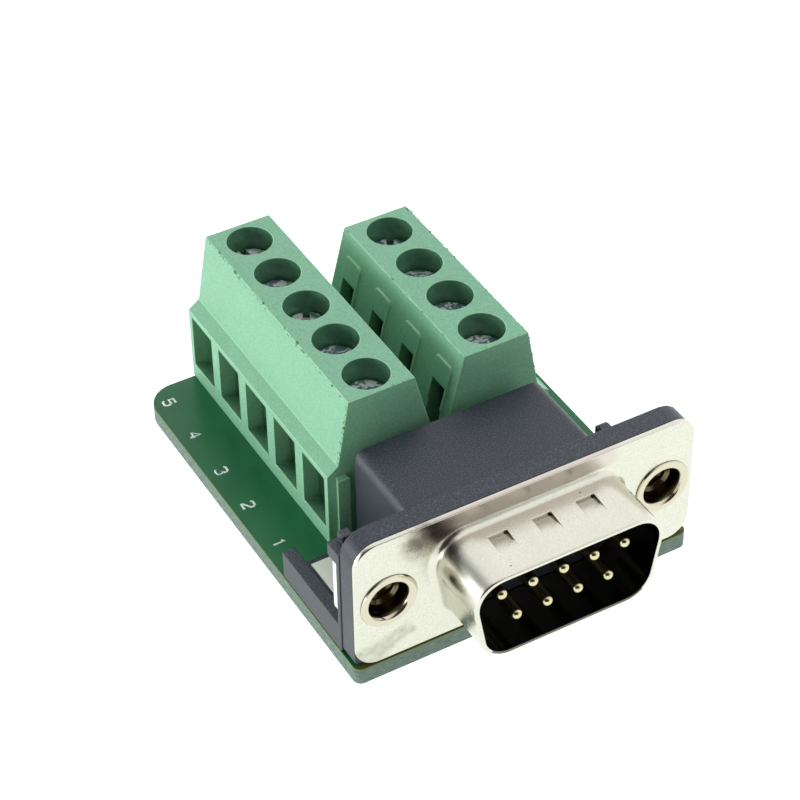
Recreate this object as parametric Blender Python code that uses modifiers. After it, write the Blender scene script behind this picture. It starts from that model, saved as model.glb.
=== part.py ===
"""Nine-way D-sub plug on a small circuit board with two rows of rising-cage screw terminals.

X runs across the plug, Y from its face to the far end of the board, Z up, and the solder
tails stand on Z = 0. The pieces hang on an empty at the middle of the board's front edge,
on its upper face, so below that point Y counts back from the metal flange and Z up from
the board. Lengths are in metres.
"""

import math

import bmesh
import bpy
from mathutils import Matrix, Vector

MM = 0.001
OBJECT_NAME = "d_sub_terminal_adapter"

FIT = 0.05 * MM
LOOSE_FIT = 0.1 * MM
CUT_MARGIN = 1.0 * MM
SAME_PLACE = 0.01 * MM
JOIN_DEPTH = 0.3 * MM
ROUND_SEGMENTS = 20
SCREW_SEGMENTS = 16
HOLE_SEGMENTS = 8
CORNER_SEGMENTS = 4

BOARD_DEPTH = 38.1 * MM
BOARD_THICKNESS = 1.6 * MM
BOARD_SIDE_PROUD = 0.045 * MM
BOARD_BACK_RADIUS = 2.6 * MM
BOARD_FRONT_RADIUS = 0.7 * MM
TAIL_BELOW = 1.5 * MM
TAIL_HOLE_CLEARANCE = 0.15 * MM

FLANGE_HEIGHT = 12.55 * MM
FLANGE_RADIUS = 2.0 * MM
FLANGE_THICKNESS = 0.4 * MM
FLANGE_EDGE = 0.15 * MM
FLANGE_ABOVE_BOARD = 0.105 * MM
JACK_FROM_SHELL = 4.035 * MM
JACK_FROM_FLANGE_END = 2.91 * MM

SHELL_HEIGHT = 8.36 * MM
SHELL_RADIUS = 2.6 * MM
SHELL_SLOPE = math.radians(10)
SHELL_PROUD = 6.0 * MM
SHELL_WALL = 0.4 * MM
SHELL_FLARE = 0.7 * MM
FLARE_STEPS = 3
RIM_ROUND = 0.2 * MM
RIM_CHAMFER = 0.06 * MM

DIMPLE_COUNT = 3
DIMPLE_PITCH = 3.92 * MM
DIMPLE_WIDTH = 1.65 * MM
DIMPLE_BACK = 1.6 * MM
DIMPLE_FRONT = 3.7 * MM
DIMPLE_DEPTH = 0.28 * MM
SIDE_DIMPLE_RADIUS = 0.5 * MM
SIDE_DIMPLE_DEPTH = 0.2 * MM
SIDE_DIMPLE_Y = 1.3 * MM

CARRIER_THICKNESS = 1.95 * MM
CARRIER_INSET = 0.06 * MM
CARRIER_FOOT_RADIUS = 0.5 * MM
NOSE_PROUD = 0.6 * MM

CONTACT_PITCH = 2.77 * MM
CONTACT_ROW_GAP = 2.84 * MM
CONTACT_RADIUS = 0.5 * MM
CONTACT_TIP_SETBACK = 0.65 * MM
CONTACT_END_SPACE = 2.92 * MM
UPPER_CONTACTS = 5
LOWER_CONTACTS = 4
TAIL_RADIUS = 0.33 * MM
TAIL_BEND = 1.0 * MM
TIP_FLAT = 0.25
NEAR_TAIL_ROW = 8.1 * MM
FAR_TAIL_ROW = 10.9 * MM

COVER_PLATE_THICKNESS = 0.55 * MM
COVER_PLATE_RISE = 4.02 * MM
COVER_CAP_DEPTH = 1.85 * MM
COVER_CAP_THICKNESS = 1.3 * MM
COVER_BACK = 12.2 * MM
COVER_BOX_INSET = 0.16 * MM
COVER_BOX_HEIGHT = 10.3 * MM
COVER_BOX_BACK = 12.0 * MM
COVER_BOX_ROUND = 0.9 * MM
COVER_WALL = 0.6 * MM
FOOT_WALL = 1.15 * MM
FOOT_WALL_HEIGHT = 2.7 * MM
FOOT_FLOOR = 0.6 * MM
LUG_SIZE = 0.9 * MM
LUG_HEIGHT = 0.7 * MM
LUG_LEFT_INSET = 1.355 * MM
LUG_RIGHT_INSET = 5.905 * MM

JACK_RING_RADIUS = 2.5 * MM
JACK_RING_PROUD = 0.2 * MM
JACK_RING_EDGE = 0.06 * MM
JACK_BARREL_RADIUS = 2.1 * MM
JACK_ENTRY_RADIUS = 2.0 * MM
JACK_ENTRY_DEPTH = 1.4 * MM
JACK_BORE_RADIUS = 1.3 * MM
JACK_NECK_RADIUS = 1.6 * MM
JACK_NECK_PROUD = 1.2 * MM

LOCK_SHEET = 0.9 * MM
LOCK_LEG_WIDTH = 5.4 * MM
LOCK_LEG_RISE = 2.62 * MM
LOCK_SHOULDER_DROP = 2.88 * MM
LOCK_CORNER = 0.5 * MM
LOCK_FOOT_WIDTH = 2.2 * MM
LOCK_FOOT_BACK = 10.9 * MM
LOCK_PRONG_Y = 9.5 * MM
LOCK_PRONG_LENGTH = 0.9 * MM
LOCK_PRONG_THICKNESS = 0.55 * MM
LOCK_PRONG_GAP = 0.6 * MM
LOCK_BARB = 0.25 * MM
LOCK_HOLE_RADIUS = 1.5 * MM

POLE_PITCH = 5.0 * MM
BLOCK_END_TRIM = 0.1 * MM
LEFT_POLES = 5
RIGHT_POLES = 4
LEFT_FRONT_Y = 13.5 * MM
RIGHT_FRONT_Y = 13.65 * MM
BLOCK_MOUTH_X = 10.47 * MM
BLOCK_LIP_HEIGHT = 7.3 * MM
BLOCK_LEDGE_X = 9.43 * MM
BLOCK_LEDGE_HEIGHT = 8.05 * MM
BLOCK_TOP_OUTER_X = 8.35 * MM
BLOCK_TOP_INNER_X = 2.31 * MM
BLOCK_HEIGHT = 14.29 * MM
BLOCK_BACK_X = 0.5 * MM
BLOCK_BACK_KNEE = 7.1 * MM

SCREW_X = 5.39 * MM
SCREW_WELL_RADIUS = 1.95 * MM
SCREW_SEAT = 10.7 * MM
SCREW_HEAD_RADIUS = 1.8 * MM
SCREW_HEAD_HEIGHT = 1.5 * MM
SCREW_SLOT_WIDTH = 0.6 * MM
SCREW_SLOT_DEPTH = 0.7 * MM
SCREW_EDGE = 0.2 * MM
SCREW_SHANK_RADIUS = 1.25 * MM
SCREW_SLOT_ANGLES = (-21, -23, 64, -5, 88, -15, -35, 10, 60)

MOUTH_WIDTH = 3.7 * MM
MOUTH_TOP = 6.8 * MM
MOUTH_SILL = 1.55 * MM
MOUTH_SILL_INNER = 1.0 * MM
CAVITY_WIDTH = 3.9 * MM
CAVITY_OUTER_X = 9.05 * MM
CAVITY_INNER_X = 1.9 * MM
CAVITY_FLOOR = 0.8 * MM
BACK_SLOT_WIDTH = 1.9 * MM
BACK_SLOT_BOTTOM = 2.4 * MM
BACK_SLOT_TOP = 10.45 * MM
BACK_FORWARD = 0.2 * MM
TONGUE_WIDTH = 2.5 * MM
TONGUE_CORNER = 0.45 * MM
TONGUE_BOTTOM = 8.4 * MM
TONGUE_TOP = 12.5 * MM
TONGUE_PROUD = 0.15 * MM
RIB_X = 9.2 * MM
RIB_ROOT = 0.8 * MM
RIB_TIP = 1.15 * MM
RIB_PROUD = 0.5 * MM
RIB_TOP = 7.5 * MM

CAGE_TRAVEL = 2.5 * MM
CAGE_CLEARANCE = 0.3 * MM
CAGE_OUTER_X = 8.0 * MM
CAGE_INNER_X = 3.5 * MM
CAGE_WALL = 0.5 * MM
CAGE_NUT_THICKNESS = 1.4 * MM
STRIP_THICKNESS = 0.6 * MM
STRIP_TOP = 5.2 * MM
STRIP_OUTER_X = 8.2 * MM
STRIP_WIDTH = 2.3 * MM
PIN_X = 2.65 * MM
PIN_WIDTH = 1.0 * MM

PLUG_HEIGHT = FLANGE_ABOVE_BOARD + FLANGE_HEIGHT / 2
LOCK_LEG_TOP = PLUG_HEIGHT + LOCK_LEG_RISE
LOCK_SHOULDER = PLUG_HEIGHT - LOCK_SHOULDER_DROP
COVER_PLATE_HEIGHT = PLUG_HEIGHT + COVER_PLATE_RISE
SHELL_WIDTH = (UPPER_CONTACTS - 1) * CONTACT_PITCH + 2 * CONTACT_END_SPACE
JACK_SPACING = SHELL_WIDTH + 2 * JACK_FROM_SHELL
FLANGE_WIDTH = JACK_SPACING + 2 * JACK_FROM_FLANGE_END
BOARD_WIDTH = FLANGE_WIDTH + 2 * BOARD_SIDE_PROUD
COVER_BOX_WIDTH = SHELL_WIDTH - 2 * COVER_BOX_INSET
PLUG_BACK = FLANGE_THICKNESS + FIT + CARRIER_THICKNESS
COVER_FRONT = PLUG_BACK + FIT
COVER_PLATE_BACK = COVER_FRONT + COVER_PLATE_THICKNESS
LOCK_FRONT = COVER_PLATE_BACK + FIT
TAIL_END = -(BOARD_THICKNESS + TAIL_BELOW)
CAGE_NUT_BOTTOM = STRIP_TOP + CAGE_CLEARANCE
CAGE_TOP = CAGE_NUT_BOTTOM + CAGE_NUT_THICKNESS
CAGE_BOTTOM = CAVITY_FLOOR + CAGE_CLEARANCE
CAVITY_TOP = CAGE_TOP + CAGE_TRAVEL + CAGE_CLEARANCE
LEFT_BACK_Y = LEFT_FRONT_Y + LEFT_POLES * POLE_PITCH - 2 * BLOCK_END_TRIM


def material(name, colour, roughness, metallic=0.0):
    """A Principled material; the colour is linear red, green and blue."""
    made = bpy.data.materials.new(name)
    made.use_nodes = True
    shader = made.node_tree.nodes["Principled BSDF"]
    shader.inputs["Base Color"].default_value = (*colour, 1.0)
    shader.inputs["Roughness"].default_value = roughness
    shader.inputs["Metallic"].default_value = metallic
    made.diffuse_color = (*colour, 1.0)
    return made


def clear_scene():
    for old in list(bpy.data.objects):
        bpy.data.objects.remove(old)


def corner_arc(before, corner, after, radius):
    """Points of the arc that rounds one corner of an outline."""
    towards = (before - corner).normalized()
    onwards = (after - corner).normalized()
    half = towards.angle(onwards) / 2
    if radius <= 0:
        return [corner]
    centre = corner + (towards + onwards).normalized() * radius / math.sin(half)
    start = corner + towards * radius / math.tan(half) - centre
    end = corner + onwards * radius / math.tan(half) - centre
    sweep = start.angle_signed(end)
    steps = [-sweep * step / CORNER_SEGMENTS for step in range(CORNER_SEGMENTS + 1)]
    return [centre + Matrix.Rotation(angle, 2) @ start for angle in steps]


def rounded(corners, radii):
    """A closed outline through the corners, each rounded by its radius."""
    points = [Vector(corner) for corner in corners]
    if not hasattr(radii, "__len__"):
        radii = [radii] * len(points)
    outline = []
    for index, corner in enumerate(points):
        after = points[(index + 1) % len(points)]
        outline += corner_arc(points[index - 1], corner, after, radii[index])
    return outline


def rectangle(width, height, radius, middle=0.0):
    """A rounded rectangle, centred across and at the given height."""
    x, z = width / 2, height / 2
    corners = [(-x, middle - z), (x, middle - z), (x, middle + z), (-x, middle + z)]
    return rounded(corners, radius)


def d_outline(grow):
    """The plug's D, wide side up, with every wall moved outwards by grow."""
    radius = SHELL_RADIUS + grow
    half_height = SHELL_HEIGHT / 2 + grow
    lean = math.tan(SHELL_SLOPE)
    reach = radius * ((1 + math.sin(SHELL_SLOPE)) / math.cos(SHELL_SLOPE) - 1)
    top = SHELL_WIDTH / 2 + grow + reach
    bottom = top - 2 * half_height * lean
    low, high = PLUG_HEIGHT - half_height, PLUG_HEIGHT + half_height
    return rounded([(-bottom, low), (bottom, low), (top, high), (-top, high)], radius)


def placed(point, depth, axis):
    """An outline's point at a depth along the axis that the outline faces."""
    across, up = point
    return {
        "X": Vector((depth, across, up)),
        "Y": Vector((across, depth, up)),
        "Z": Vector((across, up, depth)),
    }[axis]


def loft(sections, axis):
    """A mesh skinned over (depth, outline) sections that have equal counts of points."""
    mesh = bmesh.new()
    rings = []
    for depth, outline in sections:
        ring = [mesh.verts.new(placed(point, depth, axis)) for point in outline]
        rings.append(ring)
    for near, far in zip(rings, rings[1:]):
        for index in range(len(near)):
            after = (index + 1) % len(near)
            mesh.faces.new((near[index], near[after], far[after], far[index]))
    mesh.faces.new(rings[0])
    mesh.faces.new(rings[-1])
    bmesh.ops.recalc_face_normals(mesh, faces=mesh.faces)
    return mesh


def prism(outline, start, end, axis):
    return loft([(start, outline), (end, outline)], axis)


def box(corner, opposite):
    mesh = bmesh.new()
    bmesh.ops.create_cube(mesh, size=1.0)
    low = Vector(map(min, corner, opposite))
    high = Vector(map(max, corner, opposite))
    size = high - low
    bmesh.ops.transform(
        mesh,
        matrix=Matrix.Translation((low + high) / 2) @ Matrix.Diagonal((*size, 1.0)),
        verts=mesh.verts,
    )
    return mesh


def sided_box(side, inner, outer, front, back, low, high):
    """A box given by its distances from the middle, on side -1 or +1."""
    return box((side * inner, front, low), (side * outer, back, high))


def cylinder(centre, radius, start, end, axis, segments=ROUND_SEGMENTS):
    """A cylinder round a centre given by its two coordinates across the axis."""
    turn = [2 * math.pi * (step + 0.5) / segments for step in range(segments)]
    middle = Vector(centre)
    outline = [middle + Vector((math.cos(a), math.sin(a))) * radius for a in turn]
    return prism(outline, start, end, axis)


def joined(meshes):
    """One bmesh that holds several that don't touch."""
    whole = bmesh.new()
    for mesh in meshes:
        scrap = bpy.data.meshes.new("scrap")
        mesh.to_mesh(scrap)
        mesh.free()
        whole.from_mesh(scrap)
        bpy.data.meshes.remove(scrap)
    return whole


class Bench:
    """Collections, datum and helpers that turn bmeshes into named objects."""

    def __init__(self):
        scene = bpy.context.scene.collection
        self.parts = bpy.data.collections.new(OBJECT_NAME)
        self.cutters = bpy.data.collections.new("cutters")
        self.cutters.hide_render = True
        scene.children.link(self.parts)
        scene.children.link(self.cutters)
        front_edge = (SHELL_PROUD - max(BOARD_DEPTH, LEFT_BACK_Y)) / 2
        self.datum = bpy.data.objects.new("board_datum", None)
        self.datum.location = (0, front_edge, -TAIL_END)
        self.parts.objects.link(self.datum)

    def add(self, name, mesh, finish, at=(0, 0, 0)):
        """A visible piece; at is its origin, and the mesh is given round that origin."""
        data = bpy.data.meshes.new(name)
        mesh.to_mesh(data)
        mesh.free()
        made = bpy.data.objects.new(name, data)
        self.parts.objects.link(made)
        made.parent = self.datum
        made.location = at
        data.materials.append(finish)
        data.shade_smooth()
        data.set_sharp_from_angle(angle=math.radians(35))
        return made

    def helper(self, name, mesh, owner):
        data = bpy.data.meshes.new(name)
        mesh.to_mesh(data)
        mesh.free()
        made = bpy.data.objects.new(name, data)
        self.cutters.objects.link(made)
        made.parent = self.datum
        made.location = owner.location
        made.hide_render = True
        made.display_type = "WIRE"
        return made

    def boolean(self, owner, mesh, operation, label):
        tool = self.helper(f"{owner.name}_{label}", mesh, owner)
        change = owner.modifiers.new(label, "BOOLEAN")
        change.operation = operation
        change.object = tool
        change.solver = "EXACT"

    def cut(self, owner, mesh, label):
        self.boolean(owner, mesh, "DIFFERENCE", label)

    def join(self, owner, mesh, label):
        self.boolean(owner, mesh, "UNION", label)


def contact_places():
    """(x, height, tail row) of the nine contacts, upper row first."""
    rows = (
        (UPPER_CONTACTS, CONTACT_ROW_GAP / 2, FAR_TAIL_ROW),
        (LOWER_CONTACTS, -CONTACT_ROW_GAP / 2, NEAR_TAIL_ROW),
    )
    for count, rise, tail_row in rows:
        for index in range(count):
            x = (index - (count - 1) / 2) * CONTACT_PITCH
            yield x, PLUG_HEIGHT + rise, tail_row


def block_rows():
    """(side, poles, front Y) of the left and the right terminal block."""
    yield -1, LEFT_POLES, LEFT_FRONT_Y
    yield 1, RIGHT_POLES, RIGHT_FRONT_Y


def pole_places():
    """(side, y) of each pole, the left row first and from the plug backwards."""
    for side, poles, front in block_rows():
        for index in range(poles):
            yield side, front - BLOCK_END_TRIM + (index + 0.5) * POLE_PITCH


def jack_centre(side):
    return side * JACK_SPACING / 2, PLUG_HEIGHT


def make_board(bench, finish):
    x = BOARD_WIDTH / 2
    corners = [(-x, 0), (x, 0), (x, BOARD_DEPTH), (-x, BOARD_DEPTH)]
    radii = [BOARD_FRONT_RADIUS] * 2 + [BOARD_BACK_RADIUS] * 2
    board = bench.add(
        "circuit_board", prism(rounded(corners, radii), -BOARD_THICKNESS, 0, "Z"), finish
    )
    low, high = -BOARD_THICKNESS - CUT_MARGIN, CUT_MARGIN
    tail_hole = TAIL_RADIUS + TAIL_HOLE_CLEARANCE
    pin_hole = math.hypot(PIN_WIDTH, STRIP_THICKNESS) / 2 + LOOSE_FIT
    holes = [
        cylinder((x, row), tail_hole, low, high, "Z", HOLE_SEGMENTS)
        for x, _, row in contact_places()
    ]
    holes += [
        cylinder((side * PIN_X, y), pin_hole, low, high, "Z", HOLE_SEGMENTS)
        for side, y in pole_places()
    ]
    holes += [
        cylinder((side * JACK_SPACING / 2, LOCK_PRONG_Y), LOCK_HOLE_RADIUS, low, high, "Z")
        for side in (-1, 1)
    ]
    bench.cut(board, joined(holes), "holes")


def shell_dimples():
    """Lanced ramps that grip the mating shell, on its upper and lower wall."""
    ramps = []
    for index in range(DIMPLE_COUNT):
        x = (index - (DIMPLE_COUNT - 1) / 2) * DIMPLE_PITCH
        for up in (1, -1):
            wall = PLUG_HEIGHT + up * SHELL_HEIGHT / 2
            outline = [
                (-DIMPLE_BACK, wall + up * CUT_MARGIN),
                (-DIMPLE_BACK, wall - up * DIMPLE_DEPTH),
                (-DIMPLE_FRONT, wall + up * FIT),
                (-DIMPLE_FRONT, wall + up * CUT_MARGIN),
            ]
            ramps.append(
                prism(outline, x - DIMPLE_WIDTH / 2, x + DIMPLE_WIDTH / 2, "X")
            )
    return joined(ramps)


def make_shell(bench, finish):
    flange = [
        (0, rectangle(
            FLANGE_WIDTH - 2 * FLANGE_EDGE,
            FLANGE_HEIGHT - 2 * FLANGE_EDGE,
            FLANGE_RADIUS - FLANGE_EDGE,
            PLUG_HEIGHT,
        )),
        (FLANGE_EDGE, rectangle(FLANGE_WIDTH, FLANGE_HEIGHT, FLANGE_RADIUS, PLUG_HEIGHT)),
        (FLANGE_THICKNESS, rectangle(FLANGE_WIDTH, FLANGE_HEIGHT, FLANGE_RADIUS, PLUG_HEIGHT)),
    ]
    shell = bench.add("d_sub_shell", loft(flange, "Y"), finish)
    flare = [(FLANGE_THICKNESS / 2, d_outline(SHELL_FLARE))]
    for step in range(FLARE_STEPS + 1):
        turn = math.pi / 2 * step / FLARE_STEPS
        grow = SHELL_FLARE * (1 - math.sin(turn))
        flare.append((-SHELL_FLARE * (1 - math.cos(turn)), d_outline(grow)))
    rim = [(-SHELL_PROUD + RIM_ROUND, d_outline(0))]
    rim.append((-SHELL_PROUD + RIM_CHAMFER, d_outline(-RIM_CHAMFER)))
    rim.append((-SHELL_PROUD, d_outline(-RIM_ROUND)))
    bench.join(shell, loft(flare + rim, "Y"), "cup")
    hollow = prism(
        d_outline(-SHELL_WALL), -SHELL_PROUD - CUT_MARGIN, FLANGE_THICKNESS + CUT_MARGIN, "Y"
    )
    bench.cut(shell, hollow, "hollow")
    holes = [
        cylinder(jack_centre(side), JACK_BARREL_RADIUS + FIT, -CUT_MARGIN, CUT_MARGIN, "Y")
        for side in (-1, 1)
    ]
    bench.cut(shell, joined(holes), "jack_holes")
    bench.cut(shell, shell_dimples(), "dimples")
    pits = []
    for side in (-1, 1):
        wall = SHELL_WIDTH / 2 - SHELL_SLOPE * SHELL_RADIUS / 2
        start, end = wall - SIDE_DIMPLE_DEPTH, wall + CUT_MARGIN
        centre = (-SIDE_DIMPLE_Y, PLUG_HEIGHT + SHELL_RADIUS / 4)
        pits.append(
            cylinder(
                centre, SIDE_DIMPLE_RADIUS, side * start, side * end, "X", HOLE_SEGMENTS
            )
        )
    bench.cut(shell, joined(pits), "side_dimples")


def make_carrier(bench, finish):
    outline = rectangle(
        FLANGE_WIDTH - 2 * CARRIER_INSET,
        FLANGE_HEIGHT - 2 * CARRIER_INSET,
        [CARRIER_FOOT_RADIUS] * 2 + [FLANGE_RADIUS] * 2,
        PLUG_HEIGHT,
    )
    front = FLANGE_THICKNESS + FIT
    carrier = bench.add("contact_carrier", prism(outline, front, PLUG_BACK, "Y"), finish)
    nose = d_outline(-SHELL_WALL - FIT)
    face = -NOSE_PROUD
    bench.join(carrier, prism(nose, face, front + JOIN_DEPTH, "Y"), "nose")
    holes = [
        cylinder(
            (x, z), CONTACT_RADIUS + FIT, face - CUT_MARGIN, PLUG_BACK + CUT_MARGIN, "Y",
            HOLE_SEGMENTS,
        )
        for x, z, _ in contact_places()
    ]
    holes += [
        cylinder(jack_centre(side), JACK_BARREL_RADIUS + FIT, 0, PLUG_BACK + CUT_MARGIN, "Y")
        for side in (-1, 1)
    ]
    bench.cut(carrier, joined(holes), "holes")


def cover_box():
    """The moulded hood over the bent tails, rounded along its upper and rear edges."""
    half = COVER_BOX_WIDTH / 2
    back = COVER_BOX_BACK
    mesh = box((-half, COVER_PLATE_BACK - JOIN_DEPTH, 0), (half, back, COVER_BOX_HEIGHT))
    soft = [
        edge
        for edge in mesh.edges
        if all(v.co.z > COVER_BOX_HEIGHT - SAME_PLACE for v in edge.verts)
        and not all(v.co.y < back - SAME_PLACE for v in edge.verts)
    ]
    soft += [
        edge
        for edge in mesh.edges
        if all(v.co.y > back - SAME_PLACE for v in edge.verts) and edge not in soft
        and not all(v.co.z < SAME_PLACE for v in edge.verts)
    ]
    bmesh.ops.bevel(
        mesh, geom=soft, offset=COVER_BOX_ROUND, segments=4, profile=0.5,
        affect="EDGES", material=-1,
    )
    return mesh


def make_cover(bench, finish):
    half = FLANGE_WIDTH / 2
    plate = box((-half, COVER_FRONT, 0), (half, COVER_PLATE_BACK, COVER_PLATE_HEIGHT))
    cover = bench.add("rear_cover", plate, finish)
    cap_back = COVER_FRONT + COVER_CAP_DEPTH
    cap_low = COVER_PLATE_HEIGHT - COVER_CAP_THICKNESS
    cap = box((-half, COVER_PLATE_BACK - JOIN_DEPTH, cap_low), (half, cap_back, COVER_PLATE_HEIGHT))
    bench.join(cover, cap, "cap")
    bench.join(cover, cover_box(), "hood")
    start = COVER_PLATE_BACK - JOIN_DEPTH
    for side, label in ((-1, "left"), (1, "right")):
        inner = COVER_BOX_WIDTH / 2 - JOIN_DEPTH
        floor = sided_box(side, inner, half, start, COVER_BACK, 0, FOOT_FLOOR)
        bench.join(cover, floor, f"{label}_floor")
        wall = sided_box(
            side, half - FOOT_WALL, half, start, COVER_BACK, 0, FOOT_WALL_HEIGHT
        )
        bench.join(cover, wall, f"{label}_wall")
    lugs = []
    for x in (LUG_LEFT_INSET - half, half - LUG_RIGHT_INSET):
        low = (x - LUG_SIZE / 2, cap_back - LUG_SIZE, COVER_PLATE_HEIGHT - JOIN_DEPTH)
        high = (x + LUG_SIZE / 2, cap_back, COVER_PLATE_HEIGHT + LUG_HEIGHT)
        lugs.append(box(low, high))
    bench.join(cover, joined(lugs), "lugs")
    room = COVER_BOX_WIDTH / 2 - COVER_BOX_ROUND - COVER_WALL / 2
    chamber = box(
        (-room, COVER_FRONT - CUT_MARGIN, -CUT_MARGIN),
        (room, COVER_BOX_BACK - COVER_WALL, COVER_BOX_HEIGHT - COVER_BOX_ROUND),
    )
    bench.cut(cover, chamber, "chamber")
    holes = []
    for side in (-1, 1):
        holes.append(
            cylinder(
                jack_centre(side), JACK_BARREL_RADIUS + FIT, COVER_FRONT - CUT_MARGIN,
                COVER_PLATE_BACK + CUT_MARGIN, "Y",
            )
        )
        holes.append(
            cylinder(
                (side * JACK_SPACING / 2, LOCK_PRONG_Y), LOCK_HOLE_RADIUS, -CUT_MARGIN,
                FOOT_FLOOR + CUT_MARGIN, "Z",
            )
        )
    bench.cut(cover, joined(holes), "holes")


def make_contacts(bench, finish):
    """Round pins with domed tips, narrowed to wire tails that bend down to the board."""
    tip = -SHELL_PROUD + CONTACT_TIP_SETBACK
    for number, (x, z, row) in enumerate(contact_places(), start=1):
        line = bpy.data.curves.new(f"contact_pin_{number}", "CURVE")
        line.dimensions = "3D"
        line.bevel_depth = CONTACT_RADIUS
        line.bevel_resolution = 2
        line.use_fill_caps = True
        points = []
        for step in range(4):
            turn = math.pi / 2 * step / 3
            setback = CONTACT_RADIUS * (1 - math.sin(turn))
            swell = max(math.cos(turn), TIP_FLAT)
            points.append((tip + setback, z, swell))
        points.reverse()
        narrow = TAIL_RADIUS / CONTACT_RADIUS
        points.append((PLUG_BACK - FIT, z, 1.0))
        points.append((PLUG_BACK + CONTACT_RADIUS, z, narrow))
        for step in range(5):
            turn = math.pi / 2 * step / 4
            y = row - TAIL_BEND * (1 - math.sin(turn))
            points.append((y, z - TAIL_BEND * (1 - math.cos(turn)), narrow))
        points.append((row, TAIL_END + TAIL_RADIUS, narrow))
        points.append((row, TAIL_END, narrow / 2))
        spline = line.splines.new("POLY")
        spline.points.add(len(points) - 1)
        for point, (y, height, radius) in zip(spline.points, points):
            point.co = (0, y, height, 1)
            point.radius = radius
        pin = bpy.data.objects.new(f"contact_pin_{number}", line)
        line.materials.append(finish)
        bench.parts.objects.link(pin)
        pin.parent = bench.datum
        pin.location = (x, 0, 0)


def make_locks(bench, finish):
    """Bent sheet brackets that tie the jack nuts to the board by split prongs."""
    foot_low = FOOT_FLOOR + FIT
    foot_high = foot_low + LOCK_SHEET
    front, back = LOCK_FRONT, LOCK_FRONT + LOCK_SHEET
    half_leg, half_foot = LOCK_LEG_WIDTH / 2, LOCK_FOOT_WIDTH / 2
    for side, name in ((-1, "board_lock_left"), (1, "board_lock_right")):
        middle = JACK_SPACING / 2
        outline = rounded(
            [
                (side * middle - half_foot, foot_low),
                (side * middle + half_foot, foot_low),
                (side * middle + half_foot, LOCK_SHOULDER),
                (side * middle + half_leg, LOCK_SHOULDER),
                (side * middle + half_leg, LOCK_LEG_TOP),
                (side * middle - half_leg, LOCK_LEG_TOP),
                (side * middle - half_leg, LOCK_SHOULDER),
                (side * middle - half_foot, LOCK_SHOULDER),
            ],
            [0, 0, 0] + [LOCK_CORNER] * 4 + [0],
        )
        lock = bench.add(name, prism(outline, front, back, "Y"), finish)
        foot = sided_box(
            side, middle - half_foot, middle + half_foot, front + FIT, LOCK_FOOT_BACK,
            foot_low, foot_high,
        )
        bench.join(lock, foot, "foot")
        prongs = []
        for lean in (-1, 1):
            near = side * middle + lean * LOCK_PRONG_GAP / 2
            far = near + lean * LOCK_PRONG_THICKNESS
            barb = far + lean * LOCK_BARB
            outline = [
                (near, foot_low + JOIN_DEPTH),
                (far, foot_low + JOIN_DEPTH),
                (far, -BOARD_THICKNESS - FIT),
                (barb, -BOARD_THICKNESS - FIT - LOCK_BARB),
                (near + lean * LOCK_PRONG_THICKNESS / 2, TAIL_END),
                (near, TAIL_END),
            ]
            prongs.append(
                prism(
                    outline, LOCK_PRONG_Y - LOCK_PRONG_LENGTH / 2,
                    LOCK_PRONG_Y + LOCK_PRONG_LENGTH / 2, "Y",
                )
            )
        bench.join(lock, joined(prongs), "prongs")
        hole = cylinder(
            jack_centre(side), JACK_NECK_RADIUS + FIT, front - CUT_MARGIN,
            back + CUT_MARGIN, "Y",
        )
        bench.cut(lock, hole, "hole")


def make_jacks(bench, finish):
    """Turned threaded inserts whose rolled ring sits on the flange."""
    neck_end = LOCK_FRONT + LOCK_SHEET + JACK_NECK_PROUD
    barrel_end = COVER_PLATE_BACK
    profile = [
        (JACK_BORE_RADIUS, neck_end),
        (JACK_BORE_RADIUS, JACK_ENTRY_DEPTH),
        (JACK_ENTRY_RADIUS - JACK_RING_PROUD, JACK_RING_PROUD),
        (JACK_ENTRY_RADIUS, JACK_RING_EDGE - JACK_RING_PROUD),
        (JACK_ENTRY_RADIUS + JACK_RING_EDGE, -JACK_RING_PROUD),
        (JACK_RING_RADIUS - JACK_RING_EDGE, -JACK_RING_PROUD),
        (JACK_RING_RADIUS, -FIT),
        (JACK_BARREL_RADIUS, -FIT),
        (JACK_BARREL_RADIUS, barrel_end),
        (JACK_NECK_RADIUS, barrel_end),
        (JACK_NECK_RADIUS, neck_end),
    ]
    for side, name in ((-1, "jack_nut_left"), (1, "jack_nut_right")):
        mesh = bmesh.new()
        ring = [mesh.verts.new((radius, y, 0)) for radius, y in profile]
        for index in range(len(ring)):
            mesh.edges.new((ring[index - 1], ring[index]))
        x, z = jack_centre(side)
        nut = bench.add(name, mesh, finish, (x, 0, z))
        turn = nut.modifiers.new("turn", "SCREW")
        turn.axis = "Y"
        turn.steps = ROUND_SEGMENTS
        turn.render_steps = ROUND_SEGMENTS
        turn.use_merge_vertices = True
        turn.merge_threshold = 0.00001
        turn.use_normal_flip = True


def block_profile(side):
    corners = [
        (BLOCK_BACK_X, 0),
        (BLOCK_MOUTH_X, 0),
        (BLOCK_MOUTH_X, BLOCK_LIP_HEIGHT),
        (BLOCK_LEDGE_X, BLOCK_LEDGE_HEIGHT),
        (BLOCK_TOP_OUTER_X, BLOCK_HEIGHT),
        (BLOCK_TOP_INNER_X, BLOCK_HEIGHT),
        (BLOCK_BACK_X, BLOCK_BACK_KNEE),
    ]
    return [(side * x, z) for x, z in corners]


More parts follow.
